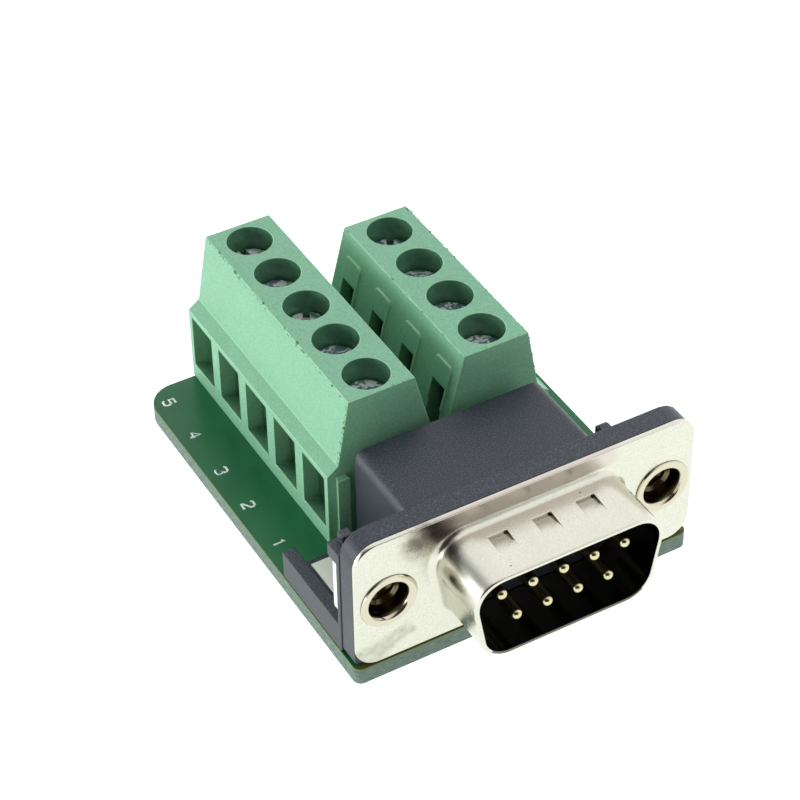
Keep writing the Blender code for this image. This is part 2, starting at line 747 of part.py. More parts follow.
def pole_tools(side, y):
    """The cutters of one pole: screw well, clamp room, wire mouth, rear slot and pin slot."""
    well = (side * SCREW_X, y)
    shank_hole = SCREW_SHANK_RADIUS + LOOSE_FIT
    half_room = CAVITY_WIDTH / 2
    mouth = [
        (side * (BLOCK_MOUTH_X + CUT_MARGIN), MOUTH_TOP),
        (side * (BLOCK_MOUTH_X + CUT_MARGIN), MOUTH_SILL),
        (side * BLOCK_MOUTH_X, MOUTH_SILL),
        (side * (CAVITY_OUTER_X - JOIN_DEPTH), MOUTH_SILL_INNER),
        (side * (CAVITY_OUTER_X - JOIN_DEPTH), MOUTH_TOP),
    ]
    half_slot = BACK_SLOT_WIDTH / 2
    half_pin = PIN_WIDTH / 2 + LOOSE_FIT
    return {
        "wells": cylinder(well, SCREW_WELL_RADIUS, SCREW_SEAT, BLOCK_HEIGHT + CUT_MARGIN, "Z"),
        "shank_holes": cylinder(
            well, shank_hole, CAVITY_TOP - CUT_MARGIN, SCREW_SEAT + CUT_MARGIN, "Z",
            SCREW_SEGMENTS,
        ),
        "rooms": sided_box(
            side, CAVITY_INNER_X, CAVITY_OUTER_X, y - half_room, y + half_room,
            CAVITY_FLOOR, CAVITY_TOP,
        ),
        "mouths": prism(mouth, y - MOUTH_WIDTH / 2, y + MOUTH_WIDTH / 2, "Y"),
        "rear_slots": sided_box(
            side, BLOCK_BACK_X - CUT_MARGIN, CAVITY_INNER_X + JOIN_DEPTH,
            y - BACK_FORWARD - half_slot, y - BACK_FORWARD + half_slot,
            BACK_SLOT_BOTTOM, BACK_SLOT_TOP,
        ),
        "pin_slots": sided_box(
            side, PIN_X - STRIP_THICKNESS / 2 - LOOSE_FIT,
            PIN_X + STRIP_THICKNESS / 2 + LOOSE_FIT,
            y - half_pin, y + half_pin, -CUT_MARGIN, CAVITY_FLOOR + JOIN_DEPTH,
        ),
    }


def tongue(side, y):
    """A low round-topped pad on the sloping back, over the rear slot of one pole."""
    half = TONGUE_WIDTH / 2
    corners = [
        (y - half, TONGUE_BOTTOM), (y + half, TONGUE_BOTTOM),
        (y + half, TONGUE_TOP), (y - half, TONGUE_TOP),
    ]
    outline = rounded(corners, [0, 0, TONGUE_CORNER, TONGUE_CORNER])
    mesh = prism(outline, side * (BLOCK_BACK_X - TONGUE_PROUD), side * BLOCK_TOP_INNER_X, "X")
    lean = (BLOCK_TOP_INNER_X - BLOCK_BACK_X) / (BLOCK_HEIGHT - BLOCK_BACK_KNEE)
    for vert in mesh.verts:
        vert.co.x += side * lean * (vert.co.z - BLOCK_BACK_KNEE)
    return mesh


def end_rib(side, y, outwards):
    """The dovetail on the end of a block that keys it to a neighbour."""
    outline = [
        (side * RIB_X - RIB_ROOT / 2, y - outwards * JOIN_DEPTH),
        (side * RIB_X + RIB_ROOT / 2, y - outwards * JOIN_DEPTH),
        (side * RIB_X + RIB_ROOT / 2, y),
        (side * RIB_X + RIB_TIP / 2, y + outwards * RIB_PROUD),
        (side * RIB_X - RIB_TIP / 2, y + outwards * RIB_PROUD),
        (side * RIB_X - RIB_ROOT / 2, y),
    ]
    return prism(outline, 0, RIB_TOP, "Z")


def make_housing(bench, name, side, poles, front, finish):
    back = front + poles * POLE_PITCH - 2 * BLOCK_END_TRIM
    housing = bench.add(name, prism(block_profile(side), front, back, "Y"), finish)
    places = [y for row, y in pole_places() if row == side]
    bench.join(housing, joined([tongue(side, y - BACK_FORWARD) for y in places]), "tongues")
    bench.join(housing, end_rib(side, front, -1), "rib")
    groove = end_rib(side, back, -1)
    bmesh.ops.translate(groove, verts=groove.verts, vec=(0, 0, -CUT_MARGIN))
    bench.cut(housing, groove, "groove")
    tools = [pole_tools(side, y) for y in places]
    for label in tools[0]:
        bench.cut(housing, joined([tool[label] for tool in tools]), label)


def make_screw(bench, number, side, y, finish):
    """A slotted cheese-head clamp screw, standing on the contact strip."""
    seat = SCREW_SEAT + FIT
    at = (side * SCREW_X, y, 0)
    crown = seat + SCREW_HEAD_HEIGHT
    circle = [2 * math.pi * step / SCREW_SEGMENTS for step in range(SCREW_SEGMENTS)]

    def ring(radius):
        return [(math.cos(turn) * radius, math.sin(turn) * radius) for turn in circle]

    sections = [
        (STRIP_TOP + FIT, ring(SCREW_SHANK_RADIUS - SCREW_EDGE)),
        (STRIP_TOP + FIT + SCREW_EDGE, ring(SCREW_SHANK_RADIUS)),
        (seat, ring(SCREW_SHANK_RADIUS)),
        (seat, ring(SCREW_HEAD_RADIUS)),
        (crown - SCREW_EDGE, ring(SCREW_HEAD_RADIUS)),
        (crown, ring(SCREW_HEAD_RADIUS - SCREW_EDGE)),
    ]
    screw = bench.add(f"clamp_screw_{number}", loft(sections, "Z"), finish, at)
    half = SCREW_SLOT_WIDTH / 2
    reach = SCREW_HEAD_RADIUS + CUT_MARGIN
    slot = box((-reach, -half, crown - SCREW_SLOT_DEPTH), (reach, half, crown + CUT_MARGIN))
    angle = math.radians(SCREW_SLOT_ANGLES[number - 1])
    bmesh.ops.rotate(slot, verts=slot.verts, matrix=Matrix.Rotation(angle, 3, "Z"))
    bench.cut(screw, slot, "slot")


def make_cage(bench, number, side, y, finish):
    """The clamp cage, open towards the mouth, with the nut thread in its thick top."""
    at = (side * SCREW_X, y, 0)
    half = CAVITY_WIDTH / 2 - LOOSE_FIT
    inner, outer = CAGE_INNER_X - SCREW_X, CAGE_OUTER_X - SCREW_X
    cage = bench.add(
        f"wire_cage_{number}",
        sided_box(side, inner, outer, -half, half, CAGE_BOTTOM, CAGE_TOP),
        finish, at,
    )
    window = sided_box(
        side, inner - CUT_MARGIN, outer + CUT_MARGIN, -half + CAGE_WALL, half - CAGE_WALL,
        CAGE_BOTTOM + CAGE_WALL, CAGE_NUT_BOTTOM,
    )
    bench.cut(cage, window, "window")
    thread = cylinder(
        (0, 0), SCREW_SHANK_RADIUS + FIT, CAGE_NUT_BOTTOM - CUT_MARGIN,
        CAGE_TOP + CUT_MARGIN, "Z", SCREW_SEGMENTS,
    )
    bench.cut(cage, thread, "thread")


def make_terminal_pin(bench, number, side, y, finish):
    """The contact strip inside the cage, bent down behind it into the solder pin."""
    low = STRIP_TOP - STRIP_THICKNESS
    half_pin = STRIP_THICKNESS / 2
    outline = [
        (side * STRIP_OUTER_X, low),
        (side * (PIN_X + half_pin), low),
        (side * (PIN_X + half_pin), TAIL_END + half_pin),
        (side * (PIN_X + half_pin / 2), TAIL_END),
        (side * (PIN_X - half_pin / 2), TAIL_END),
        (side * (PIN_X - half_pin), TAIL_END + half_pin),
        (side * (PIN_X - half_pin), STRIP_TOP),
        (side * STRIP_OUTER_X, STRIP_TOP),
    ]
    pin = bench.add(
        f"terminal_pin_{number}",
        prism(outline, -STRIP_WIDTH / 2, STRIP_WIDTH / 2, "Y"),
        finish, (0, y, 0),
    )
    waists = [
        sided_box(
            side, PIN_X - half_pin - CUT_MARGIN, PIN_X + half_pin + CUT_MARGIN / 2,
            lean * PIN_WIDTH / 2, lean * STRIP_WIDTH, TAIL_END - CUT_MARGIN,
            CAVITY_FLOOR + LOOSE_FIT,
        )
        for lean in (-1, 1)
    ]
    bench.cut(pin, joined(waists), "waist")


def main():
    clear_scene()
    bench = Bench()
    green_board = material("solder_mask_green", (0.008, 0.1, 0.035), 0.3)
    nickel = material("nickel_plated_steel", (0.72, 0.7, 0.64), 0.28, 1.0)
    black = material("black_moulded_plastic", (0.012, 0.012, 0.016), 0.5)
    gold = material("gold_plated_brass", (0.8, 0.58, 0.25), 0.25, 1.0)
    tin = material("tin_plated_steel", (0.74, 0.73, 0.7), 0.35, 1.0)
    green = material("green_moulded_plastic", (0.11, 0.36, 0.16), 0.5)
    steel = material("zinc_plated_steel", (0.6, 0.62, 0.64), 0.3, 1.0)
    brass = material("tinned_brass", (0.66, 0.62, 0.52), 0.35, 1.0)
    make_board(bench, green_board)
    make_shell(bench, nickel)
    make_carrier(bench, black)
    make_cover(bench, black)
    make_contacts(bench, gold)
    make_locks(bench, tin)
    make_jacks(bench, nickel)
    names = {-1: "terminal_housing_5way", 1: "terminal_housing_4way"}
    for side, poles, front in block_rows():
        make_housing(bench, names[side], side, poles, front, green)
    for number, (side, y) in enumerate(pole_places(), start=1):
        make_screw(bench, number, side, y, steel)
        make_cage(bench, number, side, y, brass)
        make_terminal_pin(bench, number, side, y, brass)


main()
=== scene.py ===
import math
import random

import bmesh
import bpy
from mathutils import Matrix, Vector


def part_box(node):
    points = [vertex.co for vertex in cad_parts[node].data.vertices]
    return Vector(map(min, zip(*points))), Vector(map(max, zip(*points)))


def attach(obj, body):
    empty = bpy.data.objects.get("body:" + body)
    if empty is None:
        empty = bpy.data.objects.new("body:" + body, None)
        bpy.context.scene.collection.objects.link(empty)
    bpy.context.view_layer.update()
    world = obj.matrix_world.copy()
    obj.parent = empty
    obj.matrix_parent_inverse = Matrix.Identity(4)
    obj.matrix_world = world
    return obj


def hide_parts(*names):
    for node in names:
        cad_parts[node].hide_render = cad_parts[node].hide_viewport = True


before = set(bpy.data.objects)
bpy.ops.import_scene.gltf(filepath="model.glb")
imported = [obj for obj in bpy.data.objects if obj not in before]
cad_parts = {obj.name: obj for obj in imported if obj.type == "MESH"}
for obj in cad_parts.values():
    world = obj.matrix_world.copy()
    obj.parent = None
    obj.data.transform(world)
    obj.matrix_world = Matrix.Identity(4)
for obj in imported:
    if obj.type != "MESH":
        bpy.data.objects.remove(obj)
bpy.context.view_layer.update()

MM = 0.001


# Studio: a white light tent on a glowing acrylic table. It is open towards the camera, dimmer at
# the upper left and lit by a low lamp at the left, so tops and sides are bright, front faces fall
# to about a quarter of that, and no shadow shows. The camera stands where the photographer's did.
def linear(code):
    """The linear colour, with alpha, of an sRGB hex code."""
    channels = [int(code[start:start + 2], 16) / 255 for start in (1, 3, 5)]
    return (*[c / 12.92 if c <= 0.04045 else ((c + 0.055) / 1.055) ** 2.4 for c in channels], 1.0)


def plug_in(owner, inputs):
    """Puts values, hex colours or links on a node's inputs; a node gives its first output."""
    for socket, value in inputs.items():
        if isinstance(value, bpy.types.Node):
            value = next(output for output in value.outputs if output.enabled)
        if isinstance(value, bpy.types.NodeSocket):
            owner.id_data.links.new(value, owner.inputs[socket])
        else:
            owner.inputs[socket].default_value = linear(value) if isinstance(value, str) else value


def add_node(tree, kind, inputs=None, **settings):
    """A new shader node with its settings, and with values or links on its inputs."""
    made = tree.nodes.new("ShaderNode" + kind)
    for name, value in settings.items():
        setattr(made, name, value)
    plug_in(made, inputs or {})
    return made


def new_material(name, colour, roughness, metallic=0.0):
    """A Principled material, with its node tree, its shader and its Object coordinates."""
    made = bpy.data.materials.new(name)
    made.use_nodes = True
    tree = made.node_tree
    shader = tree.nodes["Principled BSDF"]
    plug_in(shader, {"Base Color": colour, "Roughness": roughness, "Metallic": metallic})
    return made, tree, shader, add_node(tree, "TexCoord").outputs["Object"]


def bare_object(name, mesh):
    """A linked object that takes over a bmesh."""
    data = bpy.data.meshes.new(name)
    mesh.to_mesh(data)
    mesh.free()
    made = bpy.data.objects.new(name, data)
    bpy.context.scene.collection.objects.link(made)
    return made


VIEW_CENTRE = Vector((-1.2, 1.8, 11.2)) * MM
VIEW_DISTANCE = 211.1 * MM
VIEW_AZIMUTH = math.radians(-29.28)
VIEW_ELEVATION = math.radians(41.01)
VIEW_ROLL = math.radians(-0.89)
VIEW_LENS = 116.27
SENSOR_WIDTH = 36.0

camera_data = bpy.data.cameras.new("camera")
camera_data.lens = VIEW_LENS
camera_data.sensor_width = SENSOR_WIDTH
camera_data.clip_start = 0.01
camera_data.clip_end = 10.0
camera = bpy.data.objects.new("camera", camera_data)
bpy.context.scene.collection.objects.link(camera)
bpy.context.scene.camera = camera
backwards = Vector((
    math.sin(VIEW_AZIMUTH) * math.cos(VIEW_ELEVATION),
    -math.cos(VIEW_AZIMUTH) * math.cos(VIEW_ELEVATION),
    math.sin(VIEW_ELEVATION),
))
camera.rotation_mode = "QUATERNION"
camera.location = VIEW_CENTRE + backwards * VIEW_DISTANCE
level = (-backwards).to_track_quat("-Z", "Y")
camera.rotation_quaternion = Matrix.Rotation(VIEW_ROLL, 3, backwards).to_quaternion() @ level

bpy.context.scene.view_settings.view_transform = "Standard"
world = bpy.data.worlds.new("light_tent")
world.use_nodes = True
bpy.context.scene.world = world
sky = world.node_tree
TENT_LIGHT = 1.3
OPENING_WAY = Vector((-0.42, -0.87, 0.27)).normalized()
LAMP_WAY = Vector((-0.97, 0.2, 0.1)).normalized()
LAMP_LIGHT = 8.5
SIDE_WAY = Vector((-0.75, 0.05, 0.66)).normalized()
sky_way = add_node(sky, "TexCoord").outputs["Generated"]


def sky_patch(way, start, end, low=0.0, high=1.0):
    """A round patch of the tent about a direction, faded in between two cosines."""
    cosine = add_node(sky, "VectorMath", {0: sky_way, 1: way}, operation="DOT_PRODUCT")
    return add_node(sky, "MapRange", {
        "Value": cosine, "From Min": start, "From Max": end, "To Min": low, "To Max": high,
    }, interpolation_type="SMOOTHSTEP")


sky_height = add_node(sky, "SeparateXYZ", {"Vector": sky_way}).outputs["Z"]
sky_zenith = add_node(sky, "MapRange", {
    "Value": sky_height, "From Min": 0.68, "From Max": 0.98,
}, interpolation_type="SMOOTHSTEP")
sky_colour = add_node(sky, "Mix", {
    "Factor": sky_zenith, "A": "#FCFFFF", "B": "#F0F4F4",
}, data_type="RGBA")
for way, start, end, shade in (
    (SIDE_WAY, 0.7, 0.95, "#6A7070"), (OPENING_WAY, 0.5, 0.86, "#3A2E28"),
):
    sky_colour = add_node(sky, "Mix", {
        "Factor": sky_patch(way, start, end), "A": sky_colour, "B": shade,
    }, data_type="RGBA")
sky_lamp = sky_patch(LAMP_WAY, 0.78, 0.98, TENT_LIGHT, TENT_LIGHT + LAMP_LIGHT)
plug_in(sky.nodes["Background"], {"Color": sky_colour, "Strength": sky_lamp})

FLOOR_SIZE = 4.0
FLOOR_GLOW = 1.25
floor_mesh = bmesh.new()
bmesh.ops.create_grid(floor_mesh, x_segments=1, y_segments=1, size=FLOOR_SIZE / 2)
floor = bare_object("floor", floor_mesh)
# Frosted acrylic, lit from below: an even white with no gloss.
acrylic, tree, shader, place = new_material("glowing_acrylic", "#7F8280", 0.9)
plug_in(shader, {
    "Specular IOR Level": 0.1, "Emission Color": "#F8FFFB", "Emission Strength": FLOOR_GLOW,
})
floor.data.materials.append(acrylic)


# Circuit board: 1.6 mm glass-epoxy laminate, routed to shape, with green solder mask on both
# sides. The mask is a thin glossy lacquer over copper; the routed edge shows the bare laminate.
def rounded_face(corners, radii=(), segments=8):
    """A bmesh with one flat face through the corners, each rounded by its radius if it has one."""
    mesh = bmesh.new()
    points = [mesh.verts.new(corner) for corner in corners]
    mesh.faces.new(points)
    for point, radius in zip(points, radii):
        if radius > 0:
            first, second = (edge.other_vert(point).co - point.co for edge in point.link_edges)
            bmesh.ops.bevel(
                mesh, geom=[point], offset=radius / math.tan(first.angle(second) / 2),
                segments=segments, profile=0.5, affect="VERTICES", material=-1,
            )
    return mesh


def thicken(mesh, offset):
    """Extrudes all faces of a flat mesh along offset into a closed solid."""
    grown = bmesh.ops.extrude_face_region(mesh, geom=mesh.faces[:])
    moved = [item for item in grown["geom"] if isinstance(item, bmesh.types.BMVert)]
    bmesh.ops.translate(mesh, verts=moved, vec=offset)
    bmesh.ops.recalc_face_normals(mesh, faces=mesh.faces)
    return mesh


def block(low, high):
    """A plain box between two corners, for cutters and for shapes that are carved."""
    mesh = bmesh.new()
    bmesh.ops.create_cube(mesh, size=1.0)
    low, high = Vector(map(min, low, high)), Vector(map(max, low, high))
    place = Matrix.Translation((low + high) / 2) @ Matrix.Diagonal((*(high - low), 1.0))
    bmesh.ops.transform(mesh, matrix=place, verts=mesh.verts)
    return mesh


def rod(start, end, radius, segments=48):
    """A capped cylinder between two points."""
    start, end = Vector(start), Vector(end)
    mesh = bmesh.new()
    turn = (end - start).to_track_quat("Z", "Y").to_matrix().to_4x4()
    bmesh.ops.create_cone(
        mesh, cap_ends=True, segments=segments, radius1=radius, radius2=radius,
        depth=(end - start).length, matrix=Matrix.Translation((start + end) / 2) @ turn,
    )
    return mesh


def gathered(meshes):
    """One bmesh that holds several."""
    whole = bmesh.new()
    for mesh in meshes:
        scrap = bpy.data.meshes.new("scrap")
        mesh.to_mesh(scrap)
        mesh.free()
        whole.from_mesh(scrap)
        bpy.data.meshes.remove(scrap)
    return whole


def evaluated(owner):
    """The bmesh of an object with its modifiers applied; the object is removed."""
    seen = owner.evaluated_get(bpy.context.evaluated_depsgraph_get())
    mesh = bmesh.new()
    mesh.from_mesh(seen.to_mesh())
    seen.to_mesh_clear()
    bpy.data.objects.remove(owner)
    return mesh


WELD = 0.0005 * MM


def carved(mesh, *changes):
    """The mesh after each (operation, tool mesh) has been applied in turn."""
    owner = bare_object("blank", mesh)
    tools = []
    for operation, tool_mesh in changes:
        tool = bare_object("tool", tool_mesh)
        change = owner.modifiers.new("carve", "BOOLEAN")
        change.operation = operation
        change.object = tool
        change.solver = "EXACT"
        tools.append(tool)
    result = evaluated(owner)
    for tool in tools:
        bpy.data.objects.remove(tool)
    bmesh.ops.remove_doubles(result, verts=result.verts, dist=WELD)
    bmesh.ops.dissolve_limit(
        result, angle_limit=math.radians(0.05), verts=result.verts, edges=result.edges,
        delimit={"MATERIAL"},
    )
    return result


def soften(owner, width, segments, angle, edge_finish):
    """A live bevel on an object's sharp edges; edge_finish is the material slot of its faces."""
    change = owner.modifiers.new("round_edges", "BEVEL")
    change.width = width
    change.segments = segments
    change.limit_method = "ANGLE"
    change.angle_limit = math.radians(angle)
    change.use_clamp_overlap = False
    change.harden_normals = True
    change.material = edge_finish


def piece(
    name, mesh, finishes, body, nodes=(), round_edges=0.0, segments=2, angle=30,
    edge_finish=-1,
):
    """A finished piece of the object that rides on a body and stands for CAD nodes."""
    made = bare_object(name, mesh)
    for finish in finishes:
        made.data.materials.append(finish)
    made.data.shade_smooth()
    made.data.set_sharp_from_angle(angle=math.radians(angle))
    if round_edges:
        soften(made, round_edges, segments, angle, edge_finish)
    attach(made, body)
    if nodes:
        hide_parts(*nodes)
    return made


def specks(tree, place, size, empty, fade):
    """A mask of small specks, one in each cell of a size but for a share that stays empty."""
    cells = add_node(tree, "TexVoronoi", {
        "Vector": place, "Scale": 1 / size, "Randomness": 1.0,
    }, feature="F1")
    speck = add_node(tree, "MapRange", {"Value": cells, **fade})
    pick = add_node(tree, "Math", {0: cells.outputs["Color"], 1: empty}, operation="GREATER_THAN")
    return add_node(tree, "Math", {0: speck, 1: pick}, operation="MULTIPLY")


board_low, board_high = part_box("circuit_board")
BOARD_TOP = board_high.z
BOARD_FRONT = board_low.y
BOARD_FRONT_RADIUS = 0.7 * MM
BOARD_BACK_RADIUS = 2.6 * MM
BOARD_EDGE = 0.05 * MM
MASK_START = 0.5 * MM
MASK_FULL = 0.7 * MM
LIT_LINE = 0.35 * MM
LOCK_HOLE_RADIUS = 1.5 * MM
LOCK_HOLE_Y = BOARD_FRONT + 9.5 * MM
JACK_X = 12.495 * MM

# A dark glossy green with faint clouds from the copper below and a few light specks of dust; the
# clear skin gives it a soft sheen towards the light. It stops short of the front edge.
mask, tree, shader, place = new_material("solder_mask", "#1C7444", 0.38)
cloud = add_node(tree, "TexNoise", {
    "Vector": place, "Scale": 1 / (6 * MM), "Detail": 3.0, "Roughness": 0.6,
})
tone = add_node(tree, "Mix", {"Factor": cloud, "A": "#0E5430", "B": "#1C7646"}, data_type="RGBA")
dust = specks(tree, place, 0.55 * MM, 0.8, {
    "From Min": 0.05, "From Max": 0.11, "To Min": 1.0, "To Max": 0.0,
})
dusted = add_node(tree, "Mix", {"Factor": dust, "A": tone, "B": "#7FAF92"}, data_type="RGBA")
depth = add_node(tree, "SeparateXYZ", {"Vector": place}).outputs["Y"]
bare = add_node(tree, "MapRange", {
    "Value": depth, "From Min": BOARD_FRONT + MASK_FULL, "From Max": BOARD_FRONT + MASK_START,
})
colour = add_node(tree, "Mix", {"Factor": bare, "A": dusted, "B": "#5B5F35"}, data_type="RGBA")
wave = add_node(tree, "TexNoise", {"Vector": place, "Scale": 1 / (1.4 * MM), "Detail": 2.0})
bump = add_node(tree, "Bump", {"Height": wave, "Strength": 0.25, "Distance": 0.02 * MM})
plug_in(shader, {
    "Base Color": colour, "Normal": bump, "Specular IOR Level": 0.3, "Coat Weight": 0.1,
    "Coat Roughness": 0.15,
})

# Cut glass fibre in resin: a dull grey-green edge with fine pale flecks along its layers, and a
# yellow-green line at the top where the light goes through the mask.
laminate, tree, shader, place = new_material("routed_laminate", "#7E8B7E", 0.7)
layers = add_node(tree, "Mapping", {"Vector": place, "Scale": (1.0, 1.0, 9.0)})
weave = add_node(tree, "TexNoise", {
    "Vector": layers, "Scale": 1 / (0.7 * MM), "Detail": 5.0, "Roughness": 0.7,
})
fleck = add_node(tree, "MapRange", {"Value": weave, "From Min": 0.32, "From Max": 0.72})
tone = add_node(tree, "Mix", {"Factor": fleck, "A": "#37483E", "B": "#869C91"}, data_type="RGBA")
height = add_node(tree, "SeparateXYZ", {"Vector": place}).outputs["Z"]
top = add_node(tree, "MapRange", {
    "Value": height, "From Min": BOARD_TOP - LIT_LINE, "From Max": BOARD_TOP,
}, interpolation_type="SMOOTHSTEP")
colour = add_node(tree, "Mix", {"Factor": top, "A": tone, "B": "#6E7A3C"}, data_type="RGBA")
bump = add_node(tree, "Bump", {"Height": weave, "Strength": 0.6, "Distance": 0.04 * MM})
plug_in(shader, {"Base Color": colour, "Normal": bump})

board_mesh = rounded_face(
    [
        (board_low.x, board_low.y, board_low.z), (board_high.x, board_low.y, board_low.z),
        (board_high.x, board_high.y, board_low.z), (board_low.x, board_high.y, board_low.z),
    ],
    [BOARD_FRONT_RADIUS] * 2 + [BOARD_BACK_RADIUS] * 2, 10,
)
thicken(board_mesh, (0, 0, BOARD_TOP - board_low.z))
lock_holes = [
    rod((x, LOCK_HOLE_Y, 0), (x, LOCK_HOLE_Y, BOARD_TOP * 2), LOCK_HOLE_RADIUS)
    for x in (-JACK_X, JACK_X)
]
board_mesh = carved(board_mesh, ("DIFFERENCE", gathered(lock_holes)))
for face in board_mesh.faces:
    face.material_index = 0 if abs(face.normal.z) > 0.9 else 1
piece("board", board_mesh, [mask, laminate], "base", ["circuit_board"], BOARD_EDGE)


# Pole numbers: white epoxy ink, printed flat on the mask beside the left block, one number to a
# way. The strokes are thin, even and round-ended, as a drawing machine's are.
NUMBER_HEIGHT = 1.0 * MM
NUMBER_WIDTH = 0.68 * MM
NUMBER_STROKE = 0.11 * MM
INK_THICKNESS = 0.03 * MM
NUMBER_PLACES = {
    "5": (-13.98, 35.98), "4": (-13.95, 31.06), "3": (-14.05, 25.88), "2": (-14.02, 20.99),
    "1": (-13.94, 15.75),
}
NUMBER_STROKES = {
    "1": [(0.25, 0.8), (0.55, 1), (0.55, 0)],
    "2": [(0, 0.82), (0.18, 1), (0.8, 1), (1, 0.82), (1, 0.6), (0, 0.12), (0, 0), (1, 0)],
    "3": [
        (0, 0.85), (0.2, 1), (0.8, 1), (1, 0.85), (1, 0.65), (0.8, 0.52), (0.45, 0.52),
        (0.8, 0.52), (1, 0.38), (1, 0.15), (0.8, 0), (0.2, 0), (0, 0.15),
    ],
    "4": [(0.75, 0), (0.75, 1), (0, 0.32), (1, 0.32)],
    "5": [
        (0.95, 1), (0.1, 1), (0.05, 0.58), (0.75, 0.6), (1, 0.42), (1, 0.18), (0.78, 0), (0.2, 0),
        (0, 0.15),
    ],
}


def cloudy_colour(tree, shader, place, size, detail, roughness, first, second):
    """Clouds of a size that run from one colour to another, on a shader's base colour."""
    cloud = add_node(tree, "TexNoise", {
        "Vector": place, "Scale": 1 / size, "Detail": detail, "Roughness": roughness,
    })
    colour = add_node(tree, "Mix", {"Factor": cloud, "A": first, "B": second}, data_type="RGBA")
    plug_in(shader, {"Base Color": colour})


def tube(points, radius):
    """A mesh tube of even radius along points, with closed ends."""
    path = bpy.data.curves.new("path", "CURVE")
    path.dimensions = "3D"
    path.bevel_depth = radius
    path.bevel_resolution = 3
    path.use_fill_caps = True
    strand = path.splines.new("POLY")
    strand.points.add(len(points) - 1)
    for knot, point in zip(strand.points, points):
        knot.co = (*point, 1.0)
    owner = bpy.data.objects.new("path", path)
    bpy.context.scene.collection.objects.link(owner)
    return evaluated(owner)


def board_point(x, depth, height):
    """A point by its place on the board: across, back from its front edge, and up from its top."""
    return Vector((x, BOARD_FRONT + depth, BOARD_TOP + height))


# Nearly pure white, a little thin and greenish where the mesh of the screen left less ink.
ink, tree, shader, place = new_material("screen_ink", "#EAF1EC", 0.6)
cloudy_colour(tree, shader, place, 0.15 * MM, 3.0, 0.5, "#DCE8E0", "#FBFDFB")
for number, (middle, depth) in NUMBER_PLACES.items():
    route = [
        ((v - 0.5) * NUMBER_HEIGHT, (0.5 - u) * NUMBER_WIDTH, 0) for u, v in NUMBER_STROKES[number]
    ]
    strokes = tube(route, NUMBER_STROKE)
    flat = Matrix.Diagonal((1, 1, INK_THICKNESS / NUMBER_STROKE, 1))
    spot = Matrix.Translation(board_point(middle * MM, depth * MM, 0))
    bmesh.ops.transform(strokes, matrix=spot @ flat, verts=strokes.verts)
    piece(f"printed_number_{number}", strokes, [ink], "base")


# Plug shell: a steel sheet, drawn into a flange with a D-shaped cup, then nickel plated. Three
# tongues are lanced inwards on each long wall and one dimple on each end, to grip the mating half.
FLANGE_THICKNESS = 0.4 * MM
FLANGE_EDGE = 0.2 * MM
FLANGE_LOW = 0.105 * MM
FLANGE_HIGH = 12.655 * MM
FLANGE_HALF = 15.405 * MM
FLANGE_RADIUS = 2.0 * MM
PLUG_HEIGHT = (FLANGE_LOW + FLANGE_HIGH) / 2
JACK_HOLE_RADIUS = 2.15 * MM
SHELL_WIDTH = 16.92 * MM
SHELL_HEIGHT = 8.36 * MM
SHELL_RADIUS = 2.6 * MM
SHELL_SLOPE = math.radians(10)
SHELL_PROUD = 6.0 * MM
SHELL_WALL = 0.4 * MM
SHELL_FLARE = 0.7 * MM
SHELL_ROOT = 0.3 * MM
SHELL_EDGE = 0.07 * MM
RIM_ROUND = 0.2 * MM
LANCE_PITCH = 3.92 * MM
LANCE_WIDTH = 1.65 * MM
LANCE_BACK = -1.6 * MM
LANCE_FRONT = -3.7 * MM
LANCE_DEPTH = 0.28 * MM
LANCE_GAP = 0.08 * MM
LANCE_GAP_DEPTH = 0.36 * MM
DIMPLE_RADIUS = 0.5 * MM
DIMPLE_DEPTH = 0.2 * MM
DIMPLE_Y = -1.3 * MM
DIMPLE_RISE = 0.65 * MM
SPARE = 1.0 * MM
STAIN_SPOTS = (
    ((-14.5, 0, 1.0), 1.9), ((-13.6, 0, 1.3), 2.1), ((-12.7, 0, 1.7), 1.9), ((-11.9, 0, 2.2), 1.7),
    ((-11.0, 0, 2.4), 1.3),
)
# Spots on the plug's upper left shoulder where a dark reflection is painted into the nickel.
DARK_REFLECTION_SPOTS = (((-9.0, 0, 11.3), 2.6), ((-10.0, 0, 11.0), 1.9))
STAIN_AND_REFLECTION_WANDER = 1.6 * MM
# Where a pinkish reflection is painted on the flange above the plug: its lowest and highest
# heights, and how far in from the plug's ends it fades in.
PAINTED_REFLECTION_LOW = BOARD_TOP + PLUG_HEIGHT + SHELL_HEIGHT / 2 + SHELL_FLARE / 2
PAINTED_REFLECTION_HIGH = PAINTED_REFLECTION_LOW + SHELL_FLARE / 2
PAINTED_REFLECTION_REACH = 1.2 * MM


def near_spots(tree, place, frost, spots, spread):
    """A mask that fades out round a few spots, with an edge broken up by the frost."""
    wander = add_node(tree, "TexNoise", {
        "Vector": place, "Scale": 1 / (1.1 * MM), "Detail": 4.0, "Roughness": 0.6,
    }).outputs["Color"]
    shifted = add_node(tree, "VectorMath", {
        0: wander, 1: (STAIN_AND_REFLECTION_WANDER,) * 3, 2: place,
    }, operation="MULTIPLY_ADD")
    total = None
    for (x, depth, height), reach in spots:
        centre = board_point(x * MM, depth * MM, height * MM) + Vector((STAIN_AND_REFLECTION_WANDER / 2,) * 3)
        away = add_node(tree, "VectorMath", {0: shifted, 1: centre}, operation="DISTANCE")
        fade = add_node(tree, "MapRange", {
            "Value": away, "From Min": 0.0, "From Max": reach * MM, "To Min": 1.0, "To Max": 0.0,
        })
        if total is None:
            total = fade
        else:
            total = add_node(tree, "Math", {0: total, 1: fade}, operation="MAXIMUM")
    broken = add_node(tree, "Math", {0: total, 1: frost}, operation="ADD")
    return add_node(tree, "MapRange", {
        "Value": broken, "From Min": 1.0 - spread, "From Max": 1.0 + spread,
    }, interpolation_type="SMOOTHSTEP")
